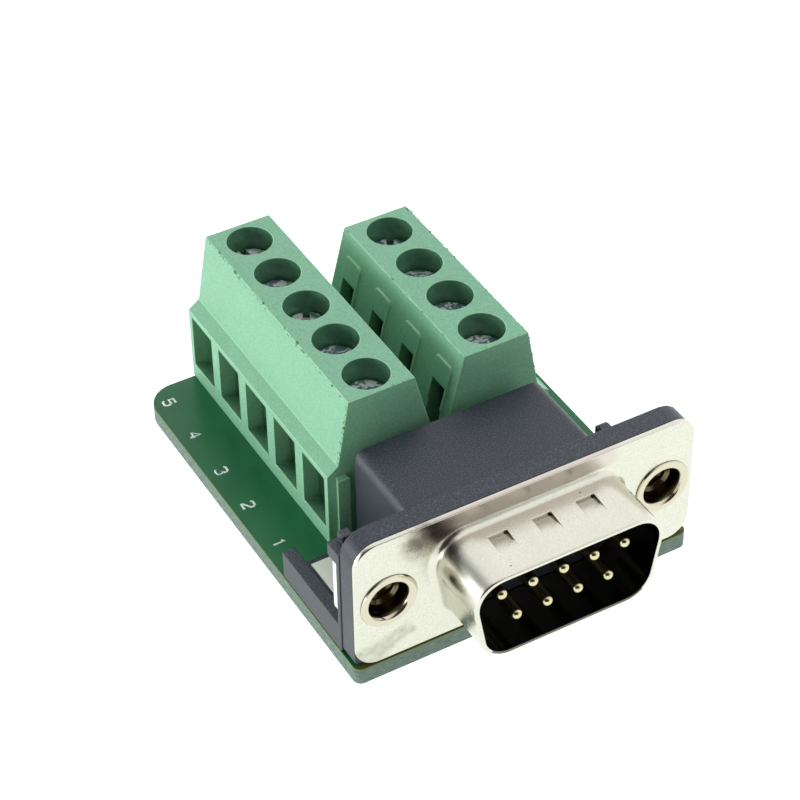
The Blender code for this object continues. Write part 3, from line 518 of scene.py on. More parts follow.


# Warm pale metal with a satin sparkle: clear enough to mirror the white table and the dark opening
# of the tent, with cloudy patches, a few dark specks and one grey stain. Two reflections are
# painted
# into its colour: a dark one on the plug's upper left shoulder and a pinkish one on the flange
# above.
nickel, tree, shader, place = new_material("nickel_plated_steel", "#C9C4B4", 0.2, 1.0)
cloud = add_node(tree, "TexNoise", {
    "Vector": place, "Scale": 1 / (1.6 * MM), "Detail": 6.0, "Roughness": 0.65,
})
frost = add_node(tree, "TexNoise", {
    "Vector": place, "Scale": 1 / (0.1 * MM), "Detail": 3.0, "Roughness": 0.7,
})
rough = add_node(tree, "MapRange", {
    "Value": cloud, "From Min": 0.3, "From Max": 0.7, "To Min": 0.14, "To Max": 0.3,
})
smear = near_spots(tree, place, frost, STAIN_SPOTS, 0.2)
mottle = add_node(tree, "MapRange", {
    "Value": cloud, "From Min": 0.35, "From Max": 0.65, "To Min": 0.3, "To Max": 1.0,
})
stain = add_node(tree, "Math", {0: smear, 1: mottle}, operation="MULTIPLY")
# A painted dark reflection on the plug's upper left shoulder, with a broken edge.
painted_dark_reflection = near_spots(tree, place, frost, DARK_REFLECTION_SPOTS, 0.45)
sparkle = add_node(tree, "MapRange", {"Value": frost, "From Min": 0.36, "From Max": 0.64})
dirt = specks(tree, place, 1.4 * MM, 0.72, {"From Min": 0.07, "From Max": 0.04})
where = add_node(tree, "SeparateXYZ", {"Vector": place}).outputs
across = add_node(tree, "Math", {0: where["X"]}, operation="ABSOLUTE")
above = add_node(tree, "MapRange", {
    "Value": where["Z"], "From Min": PAINTED_REFLECTION_LOW, "From Max": PAINTED_REFLECTION_HIGH,
}, interpolation_type="SMOOTHSTEP")
within = add_node(tree, "MapRange", {
    "Value": across, "From Min": SHELL_WIDTH / 2, "From Max": SHELL_WIDTH / 2 - PAINTED_REFLECTION_REACH,
}, interpolation_type="SMOOTHSTEP")
# A painted pinkish reflection on the flange above the plug.
painted_reflection_tint = add_node(tree, "Math", {0: above, 1: within}, operation="MULTIPLY")
colour = add_node(tree, "Mix", {
    "Factor": sparkle, "A": "#CCC8BB", "B": "#DAD7CB",
}, data_type="RGBA")
for amount, shade in (
    (dirt, "#57554A"), (stain, "#A9A998"), (painted_dark_reflection, "#77716A"), (painted_reflection_tint, "#CDC3BB"),
):
    colour = add_node(tree, "Mix", {"Factor": amount, "A": colour, "B": shade}, data_type="RGBA")
dulled = add_node(tree, "Math", {0: stain, 1: 0.25, 2: rough}, operation="MULTIPLY_ADD")
bump = add_node(tree, "Bump", {"Height": frost, "Strength": 0.36, "Distance": 0.02 * MM})
plug_in(shader, {"Base Color": colour, "Roughness": dulled, "Normal": bump})

# The inside of the cup, smoothed by the punch: mirror-smooth, and painted a dark nickel as shade,
# so it only shows the black carrier and the pins.
cup_inside_painted_dark, tree, shader, place = new_material("nickel_inside_cup_painted_dark", "#6E6A64", 0.12, 1.0)
drawn = add_node(tree, "Mapping", {"Vector": place, "Scale": (1.0, 0.12, 1.0)})
lines = add_node(tree, "TexNoise", {"Vector": drawn, "Scale": 1 / (0.25 * MM), "Detail": 3.0})
rough = add_node(tree, "MapRange", {"Value": lines, "To Min": 0.06, "To Max": 0.2})
plug_in(shader, {"Roughness": rough})


def upright_face(depth, low, high, bottom, top, radii, segments=8):
    """A flat face across the plug, between two heights, given by its lower and upper half width."""
    corners = [(-bottom, low), (bottom, low), (top, high), (-top, high)]
    return rounded_face([board_point(x, depth, z) for x, z in corners], radii, segments)


def d_face(grow, depth):
    """A flat face in the plug's D outline, wide side up, its walls moved outwards by grow."""
    radius = SHELL_RADIUS + grow
    half_height = SHELL_HEIGHT / 2 + grow
    reach = radius * ((1 + math.sin(SHELL_SLOPE)) / math.cos(SHELL_SLOPE) - 1)
    top = SHELL_WIDTH / 2 + grow + reach
    bottom = top - 2 * half_height * math.tan(SHELL_SLOPE)
    low, high = PLUG_HEIGHT - half_height, PLUG_HEIGHT + half_height
    return upright_face(depth, low, high, bottom, top, [radius] * 4, 14)


def cup_mesh():
    """The drawn cup as a solid D with its flared foot and its rounded rim."""
    mesh = d_face(SHELL_FLARE, SHELL_ROOT)
    top, = mesh.faces
    if top.normal.y > 0:
        bmesh.ops.reverse_faces(mesh, faces=[top])
    arc = [math.radians(90 * step / 6) for step in range(7)]
    bends = [
        (math.cos(a) - math.cos(b), math.sin(b) - math.sin(a)) for a, b in zip(arc, arc[1:])
    ]
    flare = [(SHELL_FLARE * along, SHELL_FLARE * across) for across, along in bends]
    rim = [(RIM_ROUND * across, RIM_ROUND * along) for across, along in bends]
    straight = SHELL_PROUD - SHELL_FLARE - RIM_ROUND
    for inwards, forwards in [(0, SHELL_ROOT), *flare, (0, straight), *rim]:
        bmesh.ops.inset_region(
            mesh, faces=[top], thickness=inwards, depth=forwards, use_even_offset=True,
            use_boundary=True,
        )
    rings = [edge for edge in mesh.edges if edge.is_boundary]
    bmesh.ops.contextual_create(mesh, geom=rings)
    bmesh.ops.recalc_face_normals(mesh, faces=mesh.faces)
    return mesh


def lance_meshes(wall, inwards):
    """Cutters for the tongues of one long wall: a wedge, and the gaps sheared round it."""
    wedges, gaps = [], []
    bottom = wall + inwards * LANCE_GAP_DEPTH
    for index in (-1, 0, 1):
        left = index * LANCE_PITCH - LANCE_WIDTH / 2
        right = index * LANCE_PITCH + LANCE_WIDTH / 2
        corners = [
            board_point(left, LANCE_FRONT, wall),
            board_point(left, LANCE_BACK, wall + inwards * LANCE_DEPTH),
            board_point(left, LANCE_BACK, wall - inwards * SPARE),
            board_point(left, LANCE_FRONT, wall - inwards * SPARE),
        ]
        wedges.append(thicken(rounded_face(corners), (LANCE_WIDTH, 0, 0)))
        gaps.append(block(
            board_point(left, LANCE_BACK - LANCE_GAP, wall), board_point(right, LANCE_BACK, bottom),
        ))
        gaps.append(block(
            board_point(right - LANCE_GAP, LANCE_BACK - LANCE_GAP * 1.01, wall),
            board_point(right, (LANCE_BACK + LANCE_FRONT) / 2, bottom),
        ))
    return wedges, gaps


def ball(centre, radius):
    """A sphere, for a punched dimple."""
    mesh = bmesh.new()
    bmesh.ops.create_uvsphere(
        mesh, u_segments=32, v_segments=20, radius=radius, matrix=Matrix.Translation(centre)
    )
    return mesh


flange = upright_face(0, FLANGE_LOW, FLANGE_HIGH, FLANGE_HALF, FLANGE_HALF, [FLANGE_RADIUS] * 4, 14)
thicken(flange, (0, FLANGE_THICKNESS, 0))
flange_middle = BOARD_FRONT + FLANGE_THICKNESS / 2
rolled = [edge for edge in flange.edges if all(v.co.y < flange_middle for v in edge.verts)]
bmesh.ops.bevel(
    flange, geom=rolled, offset=FLANGE_EDGE, segments=5, profile=0.5, affect="EDGES", material=-1,
)
hollow = d_face(-SHELL_WALL, -SHELL_PROUD - SPARE)
thicken(hollow, (0, SHELL_PROUD + SPARE + FLANGE_THICKNESS + SPARE, 0))
jack_holes = [
    rod(
        board_point(x, -SPARE, PLUG_HEIGHT), board_point(x, SPARE * 2, PLUG_HEIGHT),
        JACK_HOLE_RADIUS, 64,
    )
    for x in (-JACK_X, JACK_X)
]
upper_wedges, upper_gaps = lance_meshes(PLUG_HEIGHT + SHELL_HEIGHT / 2, -1)
lower_wedges, lower_gaps = lance_meshes(PLUG_HEIGHT - SHELL_HEIGHT / 2, 1)
dimple_reach = DIMPLE_RADIUS ** 2 / (2 * DIMPLE_DEPTH) + DIMPLE_DEPTH / 2
dimple_x = SHELL_WIDTH / 2 + dimple_reach - DIMPLE_DEPTH
end_dimples = [
    ball(board_point(x, DIMPLE_Y, PLUG_HEIGHT + DIMPLE_RISE), dimple_reach)
    for x in (-dimple_x, dimple_x)
]
shell = carved(
    flange,
    ("UNION", cup_mesh()),
    ("DIFFERENCE", hollow),
    *[
        ("DIFFERENCE", gathered(cutters)) for cutters in (
            jack_holes, upper_wedges + lower_wedges, upper_gaps + lower_gaps, end_dimples,
        )
    ],
)
axis = board_point(0, 0, PLUG_HEIGHT)
# Faces inside the cup take the second finish, painted dark as shade.
for face in shell.faces:
    middle = face.calc_center_median() - axis
    turned_in = face.normal.x * middle.x + face.normal.z * middle.z < 0
    if turned_in and middle.y < 0 and abs(middle.z) < SHELL_HEIGHT / 2 - SHELL_WALL * 0.9:
        face.material_index = 1
piece(
    "plug_shell", shell, [nickel, cup_inside_painted_dark], "base", ["d_sub_shell"], SHELL_EDGE,
    angle=28,
)


# Contact carrier and rear cover: black glass-filled polyester, moulded. The carrier holds the nine
# contacts behind the flange; the cover stands on the board with two feet, and its hood, one
# straight run with two rounded shoulders and a square end, closes over the tails.
HOOD_HALF_WIDTH = 8.65 * MM
HOOD_HEIGHT = 10.32 * MM
HOOD_BACK = 12.18 * MM
HOOD_ROUND = 1.0 * MM
HOOD_INSET = 0.3 * MM
HOOD_LIFT = 0.02 * MM
CHAMBER_HALF_WIDTH = 7.09 * MM
CHAMBER_HEIGHT = 9.39 * MM
CHAMBER_BACK = 11.39 * MM
BLACK_EDGE = 0.09 * MM

# Bluish black with a matt moulded grain; pale dust sits in the grain and greys the flat tops.
black, tree, shader, place = new_material("black_polyester", "#22252B", 0.45)
cloud = add_node(tree, "TexNoise", {
    "Vector": place, "Scale": 1 / (1.8 * MM), "Detail": 5.0, "Roughness": 0.7,
})
grain = add_node(tree, "TexNoise", {
    "Vector": place, "Scale": 1 / (0.11 * MM), "Detail": 3.0, "Roughness": 0.75,
})
tone = add_node(tree, "Mix", {"Factor": cloud, "A": "#14171F", "B": "#242A37"}, data_type="RGBA")
facing = add_node(tree, "NewGeometry").outputs["Normal"]
upwards = add_node(tree, "SeparateXYZ", {"Vector": facing}).outputs["Z"]
lies = add_node(tree, "MapRange", {
    "Value": upwards, "From Min": 0.0, "From Max": 1.0, "To Min": 0.25, "To Max": 0.75,
})
grains = add_node(tree, "MapRange", {"Value": grain, "From Min": 0.5, "From Max": 0.78})
dust = add_node(tree, "Math", {0: grains, 1: lies}, operation="MULTIPLY")
colour = add_node(tree, "Mix", {"Factor": dust, "A": tone, "B": "#7A8297"}, data_type="RGBA")
bump = add_node(tree, "Bump", {"Height": grain, "Strength": 0.4, "Distance": 0.02 * MM})
plug_in(shader, {"Base Color": colour, "Normal": bump})


def merged_copy(node):
    """A bmesh of a CAD node with its loose triangles joined and its flat faces whole."""
    mesh = bmesh.new()
    mesh.from_mesh(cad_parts[node].data)
    bmesh.ops.remove_doubles(mesh, verts=mesh.verts, dist=WELD)
    bmesh.ops.dissolve_limit(
        mesh, angle_limit=math.radians(1), verts=mesh.verts, edges=mesh.edges
    )
    return mesh


cover_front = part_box("rear_cover")[0].y - BOARD_FRONT
hood_front = cover_front + HOOD_INSET
hood = upright_face(
    hood_front, HOOD_LIFT, HOOD_HEIGHT, HOOD_HALF_WIDTH, HOOD_HALF_WIDTH,
    [0, 0, HOOD_ROUND, HOOD_ROUND],
)
thicken(hood, (0, HOOD_BACK - hood_front, 0))
chamber = block(
    board_point(-CHAMBER_HALF_WIDTH, cover_front - SPARE, -SPARE),
    board_point(CHAMBER_HALF_WIDTH, CHAMBER_BACK, CHAMBER_HEIGHT),
)
hood = carved(hood, ("DIFFERENCE", chamber))
hood_piece = piece("rear_cover_hood", hood, [black], "base", (), BLACK_EDGE)
hood_piece.modifiers.new("even_shading", "WEIGHTED_NORMAL").keep_sharp = True
for node in ("contact_carrier", "rear_cover"):
    moulding = merged_copy(node)
    piece(f"{node}_moulding", moulding, [black], "base", [node], BLACK_EDGE)


# Contacts: nine brass pins, turned with a domed tip and plated with pale gold; behind the carrier
# each narrows to a wire tail that bends down through the board.
CONTACT_PITCH = 2.77 * MM
CONTACT_ROW_GAP = 2.84 * MM
CONTACT_RADIUS = 0.5 * MM
CONTACT_DOME = 0.45 * MM
CONTACT_TIP = -5.35 * MM
CONTACT_BACK = 2.6 * MM
TAIL_RADIUS = 0.33 * MM
TAIL_BEND = 1.0 * MM
TAIL_OVERLAP = 0.2 * MM
NEAR_TAIL_ROW = 8.1 * MM
FAR_TAIL_ROW = 10.9 * MM
TAIL_END = board_low.z - BOARD_TOP - 1.5 * MM


def cloudy_shine(tree, shader, place, size, detail, smooth, rough):
    """Clouds of a size that run from smooth to rough, on a shader's roughness."""
    cloud = add_node(tree, "TexNoise", {"Vector": place, "Scale": 1 / size, "Detail": detail})
    plug_in(shader, {"Roughness": add_node(tree, "MapRange", {
        "Value": cloud, "To Min": smooth, "To Max": rough,
    })})


def spun(profile, centre, axis="Z", segments=40):
    """A turned shape: (radius, height) points swept once round an axis through centre."""
    mesh = bmesh.new()
    points = [mesh.verts.new((radius, 0, height)) for radius, height in profile]
    edges = [mesh.edges.new(pair) for pair in zip(points, points[1:])]
    bmesh.ops.spin(
        mesh, geom=points + edges, cent=(0, 0, 0), axis=(0, 0, 1), angle=2 * math.pi,
        steps=segments, use_merge=True,
    )
    bmesh.ops.remove_doubles(mesh, verts=mesh.verts, dist=WELD)
    turn = Matrix.Rotation(math.radians(-90), 4, "X") if axis == "Y" else Matrix.Identity(4)
    bmesh.ops.transform(mesh, matrix=Matrix.Translation(centre) @ turn, verts=mesh.verts)
    bmesh.ops.recalc_face_normals(mesh, faces=mesh.faces)
    return mesh


# Thin pale gold, polished: the domes hold one bright spot each and the shafts mirror the dark.
gold, tree, shader, place = new_material("gold_plated_brass", "#CFC5A0", 0.16, 1.0)
cloudy_shine(tree, shader, place, 0.3 * MM, 3.0, 0.08, 0.28)

contact_places = []
for count, rise, tail_row in (
    (5, CONTACT_ROW_GAP / 2, FAR_TAIL_ROW), (4, -CONTACT_ROW_GAP / 2, NEAR_TAIL_ROW),
):
    for index in range(count):
        x = (index - (count - 1) / 2) * CONTACT_PITCH
        contact_places.append((x, PLUG_HEIGHT + rise, tail_row))

# A round corner's two reaches, the sine and one less the cosine, over a quarter turn.
quarter_angles = [math.radians(90 * step / 8) for step in range(9)]
quarter = [(math.sin(a), 1 - math.cos(a)) for a in quarter_angles]
for number, (x, height, tail_row) in enumerate(contact_places, start=1):
    nose = [(CONTACT_RADIUS * out, CONTACT_TIP + CONTACT_DOME * back) for out, back in quarter]
    pin = spun(
        nose + [(CONTACT_RADIUS, CONTACT_BACK), (0, CONTACT_BACK)],
        board_point(x, 0, height), "Y", 36,
    )
    tail = tube(
        [
            board_point(x, CONTACT_BACK - TAIL_OVERLAP, height),
            *[
                board_point(x, tail_row - TAIL_BEND * (1 - back), height - TAIL_BEND * down)
                for back, down in quarter
            ],
            board_point(x, tail_row, TAIL_END),
        ],
        TAIL_RADIUS,
    )
    piece(
        f"contact_{number}", gathered([pin, tail]), [gold], "base",
        [f"contact_pin_{number}"], angle=40,
    )


# Jack nuts: turned steel inserts, nickel plated and tapped, riveted through the flange, the
# carrier, the cover and the board locks. Their flush ring shows on the flange, round a deep funnel.
JACK_RING_RADIUS = 2.5 * MM
JACK_RING_FRONT = -0.2 * MM
JACK_RING_BACK = -0.02 * MM
JACK_RING_EDGE = ((0.03, 0), (0, 0.04), (0.06, 0.14), (0.16, 0.18))
JACK_BARREL_RADIUS = 2.1 * MM
JACK_ENTRY_RADIUS = 2.0 * MM
JACK_ENTRY_LAND = 0.1 * MM
JACK_ENTRY_DEPTH = 1.4 * MM
JACK_DARK_BORE_FRONT = 0.1 * MM
JACK_THREAD_ROOT = 1.5 * MM
JACK_THREAD_SINK = 0.02 * MM
JACK_THREAD_CREST = 1.2 * MM
JACK_THREAD_PITCH = 0.635 * MM
JACK_THREAD_FRONT = JACK_ENTRY_DEPTH * 0.8
JACK_THREAD_BACK = 5.1 * MM
JACK_SHOULDER = 3.0 * MM
JACK_NECK_RADIUS = 1.62 * MM
JACK_BACK = 5.15 * MM

# The same pale plating as the shell on a lathe-cut surface, a touch browner; the bore is painted
# dark as shade.
turned, tree, shader, place = new_material("turned_nickel_plate", "#CBC3B0", 0.16, 1.0)
cloudy_shine(tree, shader, place, 0.8 * MM, 4.0, 0.08, 0.26)

# The tapped bore: dark brown metal with a wet shine, its darkness painted shade.
bore_painted_dark, tree, shader, place = new_material("jack_bore_painted_dark", "#5B4A39", 0.2, 1.0)
cloudy_colour(tree, shader, place, 0.7 * MM, 4.0, 0.6, "#2A261C", "#85795C")


def thread_tube(root, crest, pitch, start, end, segments=32):
    """An open helical surface from height start to end, cut off square at both."""
    turns = math.ceil((end - start) / pitch) + 2
    mesh = bmesh.new()
    wave = [(root, 0), (crest, 0.4), (crest, 0.5), (root, 0.9), (root, 1.0)]
    points = [mesh.verts.new((radius, 0, start - pitch + pitch * share)) for radius, share in wave]
    edges = [mesh.edges.new(pair) for pair in zip(points, points[1:])]
    bmesh.ops.spin(
        mesh, geom=points + edges, cent=(0, 0, 0), axis=(0, 0, 1), angle=2 * math.pi * turns,
        steps=segments * turns, dvec=(0, 0, pitch / segments), use_merge=False,
    )
    bmesh.ops.remove_doubles(mesh, verts=mesh.verts, dist=WELD * 2)
    for height, clear_above in ((start, False), (end, True)):
        bmesh.ops.bisect_plane(
            mesh, geom=mesh.verts[:] + mesh.edges[:] + mesh.faces[:], plane_co=(0, 0, height),
            plane_no=(0, 0, 1), clear_outer=clear_above, clear_inner=not clear_above,
        )
    return mesh


# From the back of the neck over the barrel to the ring, then down the funnel. The ring's edge is
# given inwards from its radius and forwards from its back, in mm.
jack_outline = [
    (JACK_THREAD_ROOT, JACK_BACK), (JACK_NECK_RADIUS, JACK_BACK),
    (JACK_NECK_RADIUS, JACK_SHOULDER), (JACK_BARREL_RADIUS, JACK_SHOULDER),
    (JACK_BARREL_RADIUS, JACK_RING_BACK),
    *[
        (JACK_RING_RADIUS - inwards * MM, JACK_RING_BACK - forwards * MM)
        for inwards, forwards in JACK_RING_EDGE
    ],
    (JACK_ENTRY_RADIUS + JACK_ENTRY_LAND, JACK_RING_FRONT),
    *[
        (
            JACK_THREAD_ROOT + (JACK_ENTRY_RADIUS - JACK_THREAD_ROOT) * (1 - inwards),
            JACK_RING_FRONT + (JACK_ENTRY_DEPTH - JACK_RING_FRONT) * back,
        )
        for inwards, back in quarter
    ],
    (JACK_THREAD_ROOT, JACK_BACK),
]
for side, word in ((-1, "left"), (1, "right")):
    middle = board_point(side * JACK_X, 0, PLUG_HEIGHT)
    body = spun(jack_outline, middle, "Y", 64)
    thread = thread_tube(
        JACK_THREAD_ROOT + JACK_THREAD_SINK, JACK_THREAD_CREST, JACK_THREAD_PITCH,
        JACK_THREAD_FRONT, JACK_THREAD_BACK, 40,
    )
    stand = Matrix.Translation(middle) @ Matrix.Rotation(math.radians(-90), 4, "X")
    bmesh.ops.transform(thread, matrix=stand, verts=thread.verts)
    nut = gathered([body, thread])
    # Faces inside the bore take the second finish, painted dark as shade.
    for face in nut.faces:
        out = face.calc_center_median() - middle
        if out.y > JACK_DARK_BORE_FRONT and face.normal.x * out.x + face.normal.z * out.z < 0:
            face.material_index = 1
    piece(
        f"jack_{word}", nut, [turned, bore_painted_dark], "base",
        [f"jack_nut_{word}"], angle=35,
    )


# Board locks: brass strip, stamped, bent and tinned bright. The leg stands behind the cover's
# plate, the foot lies on the board, and its split prongs snap through a hole.
LOCK_EDGE = 0.12 * MM

# Soft white metal, wavy and slightly frosted from the bath, with bright rounded edges.
tin, tree, shader, place = new_material("bright_tin_plate", "#EFEDE4", 0.45, 0.6)
cloud = add_node(tree, "TexNoise", {
    "Vector": place, "Scale": 1 / (0.5 * MM), "Detail": 5.0, "Roughness": 0.65,
})
rough = add_node(tree, "MapRange", {
    "Value": cloud, "From Min": 0.3, "From Max": 0.7, "To Min": 0.35, "To Max": 0.6,
})
bump = add_node(tree, "Bump", {"Height": cloud, "Strength": 0.3, "Distance": 0.03 * MM})
plug_in(shader, {"Roughness": rough, "Normal": bump})
for node in ("board_lock_left", "board_lock_right"):
    piece(f"{node}_strip", merged_copy(node), [tin], "base", [node], LOCK_EDGE, 3)


# Terminal housings: light green moulded polyamide, one block of five ways and one of four, cut
# from long mouldings, so their ends are ragged. Fine spark-eroded grain makes the skin matt.
POLE_PITCH = 5.0 * MM
HOUSING_MOUTH_X = 10.47 * MM
HOUSING_LIP = 7.3 * MM
HOUSING_LEDGE_X = 9.43 * MM
HOUSING_LEDGE = 8.05 * MM
HOUSING_TOP_OUTER_X = 8.35 * MM
HOUSING_TOP_INNER_X = 2.31 * MM
HOUSING_HEIGHT = 14.29 * MM
HOUSING_BACK_X = 0.5 * MM
HOUSING_KNEE = 7.1 * MM
SCREW_X = 5.39 * MM
WELL_RADIUS = 1.95 * MM
WELL_FLOOR = 10.7 * MM
SHANK_HOLE_RADIUS = 1.35 * MM
ROOM_WIDTH = 3.9 * MM
ROOM_OUTER_X = 9.05 * MM
ROOM_INNER_X = 1.9 * MM
ROOM_FLOOR = 0.8 * MM
ROOM_TOP = 9.7 * MM
MOUTH_WIDTH = 3.7 * MM
MOUTH_TOP = 6.8 * MM
SILL_OUTER = 1.55 * MM
SILL_INNER = 1.0 * MM
REAR_SLOT_WIDTH = 1.9 * MM
REAR_SLOT_LOW = 2.4 * MM
REAR_SLOT_HIGH = 10.45 * MM
REAR_FORWARD = 0.2 * MM
TONGUE_WIDTH = 2.5 * MM
TONGUE_CORNER = 0.45 * MM
TONGUE_LOW = 8.4 * MM
TONGUE_HIGH = 12.5 * MM
TONGUE_PROUD = 0.15 * MM
RIB_X = 9.2 * MM
RIB_ROOT = 0.8 * MM
RIB_TIP = 1.15 * MM
RIB_PROUD = 0.5 * MM
RIB_TOP = 6.9 * MM
GROOVE_EASE = 0.1 * MM
OVERLAP = 0.3 * MM
HOUSING_WEAR = 0.06 * MM
BURR_SIZE = 0.11 * MM
BURR_SINK = 0.18 * MM

# A milky mid green, matt from its spark-eroded mould, with paler and darker grains and slow clouds.
# The grain is drawn coarser than the real 0.05 mm.
green, tree, shader, place = new_material("green_polyamide", "#6FB386", 0.5)
cloud = add_node(tree, "TexNoise", {
    "Vector": place, "Scale": 1 / (2.5 * MM), "Detail": 4.0, "Roughness": 0.65,
})
grain = add_node(tree, "TexNoise", {
    "Vector": place, "Scale": 1 / (0.16 * MM), "Detail": 3.0, "Roughness": 0.7,
})
tone = add_node(tree, "Mix", {"Factor": cloud, "A": "#82BF9A", "B": "#92CCA9"}, data_type="RGBA")
grains = add_node(tree, "MapRange", {"Value": grain, "From Min": 0.25, "From Max": 0.75})
shade = add_node(tree, "Mix", {"Factor": grains, "A": "#D2D2D2", "B": "#FFFFFF"}, data_type="RGBA")
colour = add_node(tree, "Mix", {
    "Factor": 1.0, "A": tone, "B": shade,
}, data_type="RGBA", blend_type="MULTIPLY")
bump = add_node(tree, "Bump", {"Height": grain, "Strength": 0.35, "Distance": 0.02 * MM})
plug_in(shader, {
    "Base Color": colour, "Normal": bump, "Subsurface Weight": 0.08,
    "Subsurface Radius": (0.4 * MM, 0.8 * MM, 0.5 * MM), "Subsurface Scale": 1.0,
})

# The walls of the wells, moulded on polished pins: glossy, so they mirror the screws and the dark
# below instead of scattering light. Their darker green is painted shade.
well, tree, shader, place = new_material("polished_polyamide_painted_dark", "#3F7C5A", 0.18)
cloudy_colour(tree, shader, place, 0.8 * MM, 4.0, 0.6, "#3C6C50", "#6AA281")

# The same polyamide on the rounded edges: whitened and rougher where worn or sheared, and paler
# along every edge as a painted highlight.
green_edge_wear_and_highlight, tree, shader, place = new_material("whitened_polyamide_painted_highlight", "#93C9A4", 0.7)
cloudy_colour(tree, shader, place, 0.5 * MM, 4.0, 0.7, "#7DBC93", "#B2DCB0")


def at_height(x, y, height):
    """A point given by its height above the board."""
    return Vector((x, y, BOARD_TOP + height))


def tongue_mesh(side, y):
    """A low pad with a round top on the sloping back of a housing."""
    left, right = y - TONGUE_WIDTH / 2, y + TONGUE_WIDTH / 2
    rise = (HOUSING_TOP_INNER_X - HOUSING_BACK_X) / (HOUSING_HEIGHT - HOUSING_KNEE)
    mesh = rounded_face(
        [
            at_height(0, left, TONGUE_LOW), at_height(0, right, TONGUE_LOW),
            at_height(0, right, TONGUE_HIGH), at_height(0, left, TONGUE_HIGH),
        ],
        [0, 0, TONGUE_CORNER, TONGUE_CORNER],
    )
    thicken(mesh, (HOUSING_TOP_INNER_X, 0, 0))
    for point in mesh.verts:
        lean = rise * (point.co.z - BOARD_TOP - HOUSING_KNEE)
        point.co.x = side * (HOUSING_BACK_X - TONGUE_PROUD + point.co.x + lean)
    bmesh.ops.recalc_face_normals(mesh, faces=mesh.faces)
    return mesh


def rib_mesh(side, y, rise):
    """The dovetail that keys one block to the next, proud of the plane at y."""
    flat = [
        (RIB_ROOT / 2, OVERLAP), (RIB_ROOT / 2, 0), (RIB_TIP / 2, -RIB_PROUD),
        (-RIB_TIP / 2, -RIB_PROUD), (-RIB_ROOT / 2, 0), (-RIB_ROOT / 2, OVERLAP),
    ]
    corners = [at_height(side * RIB_X + x, y + out, rise) for x, out in flat]
    return thicken(rounded_face(corners), (0, 0, RIB_TOP))


def chips(start, end, count, size, chance):
    """Small rough lumps strewn along a line, to cut nicks or to stand as burrs."""
    lumps = []
    for index in range(count):
        mesh = bmesh.new()
        bmesh.ops.create_icosphere(mesh, subdivisions=1, radius=size * chance.uniform(0.4, 1.0))
        for point in mesh.verts:
            point.co *= chance.uniform(0.6, 1.3)
        spread = Vector((chance.uniform(-1, 1), 0, chance.uniform(-1, 1))) * size * 0.5
        share = (index + chance.uniform(0.3, 0.7)) / count
        middle = Vector(start).lerp(Vector(end), share) + spread
        stretch = Matrix.Diagonal((0.8, chance.uniform(1.0, 2.2), 0.8, 1.0))
        bmesh.ops.transform(mesh, matrix=Matrix.Translation(middle) @ stretch, verts=mesh.verts)
        lumps.append(mesh)
    return lumps


def worn(mesh, width, nicks):
    """The mesh with its edges rounded, then nicked."""
    owner = bare_object("blank", mesh)
    for finish in (green, green_edge_wear_and_highlight):
        owner.data.materials.append(finish)
    # The rounded edges take the second finish: pale wear and a painted highlight.
    soften(owner, width, 2, 30, 1)
    return carved(evaluated(owner), ("DIFFERENCE", gathered(nicks)))


def in_a_well(centre, normal, side, middles):
    """Whether a face belongs to the wall of one of a housing's wells."""
    if centre.z < BOARD_TOP + WELL_FLOOR or abs(normal.z) > 0.3:
        return False
    away = min(math.hypot(centre.x - side * SCREW_X, centre.y - y) for y in middles)
    return away < WELL_RADIUS * 1.02


def pole_rows(count, low, high):
    """The Y of each pole of a housing, from its box; the rib stands proud of the front end."""
    middle = (low.y + RIB_PROUD + high.y) / 2
    return [middle + (index - (count - 1) / 2) * POLE_PITCH for index in range(count)]


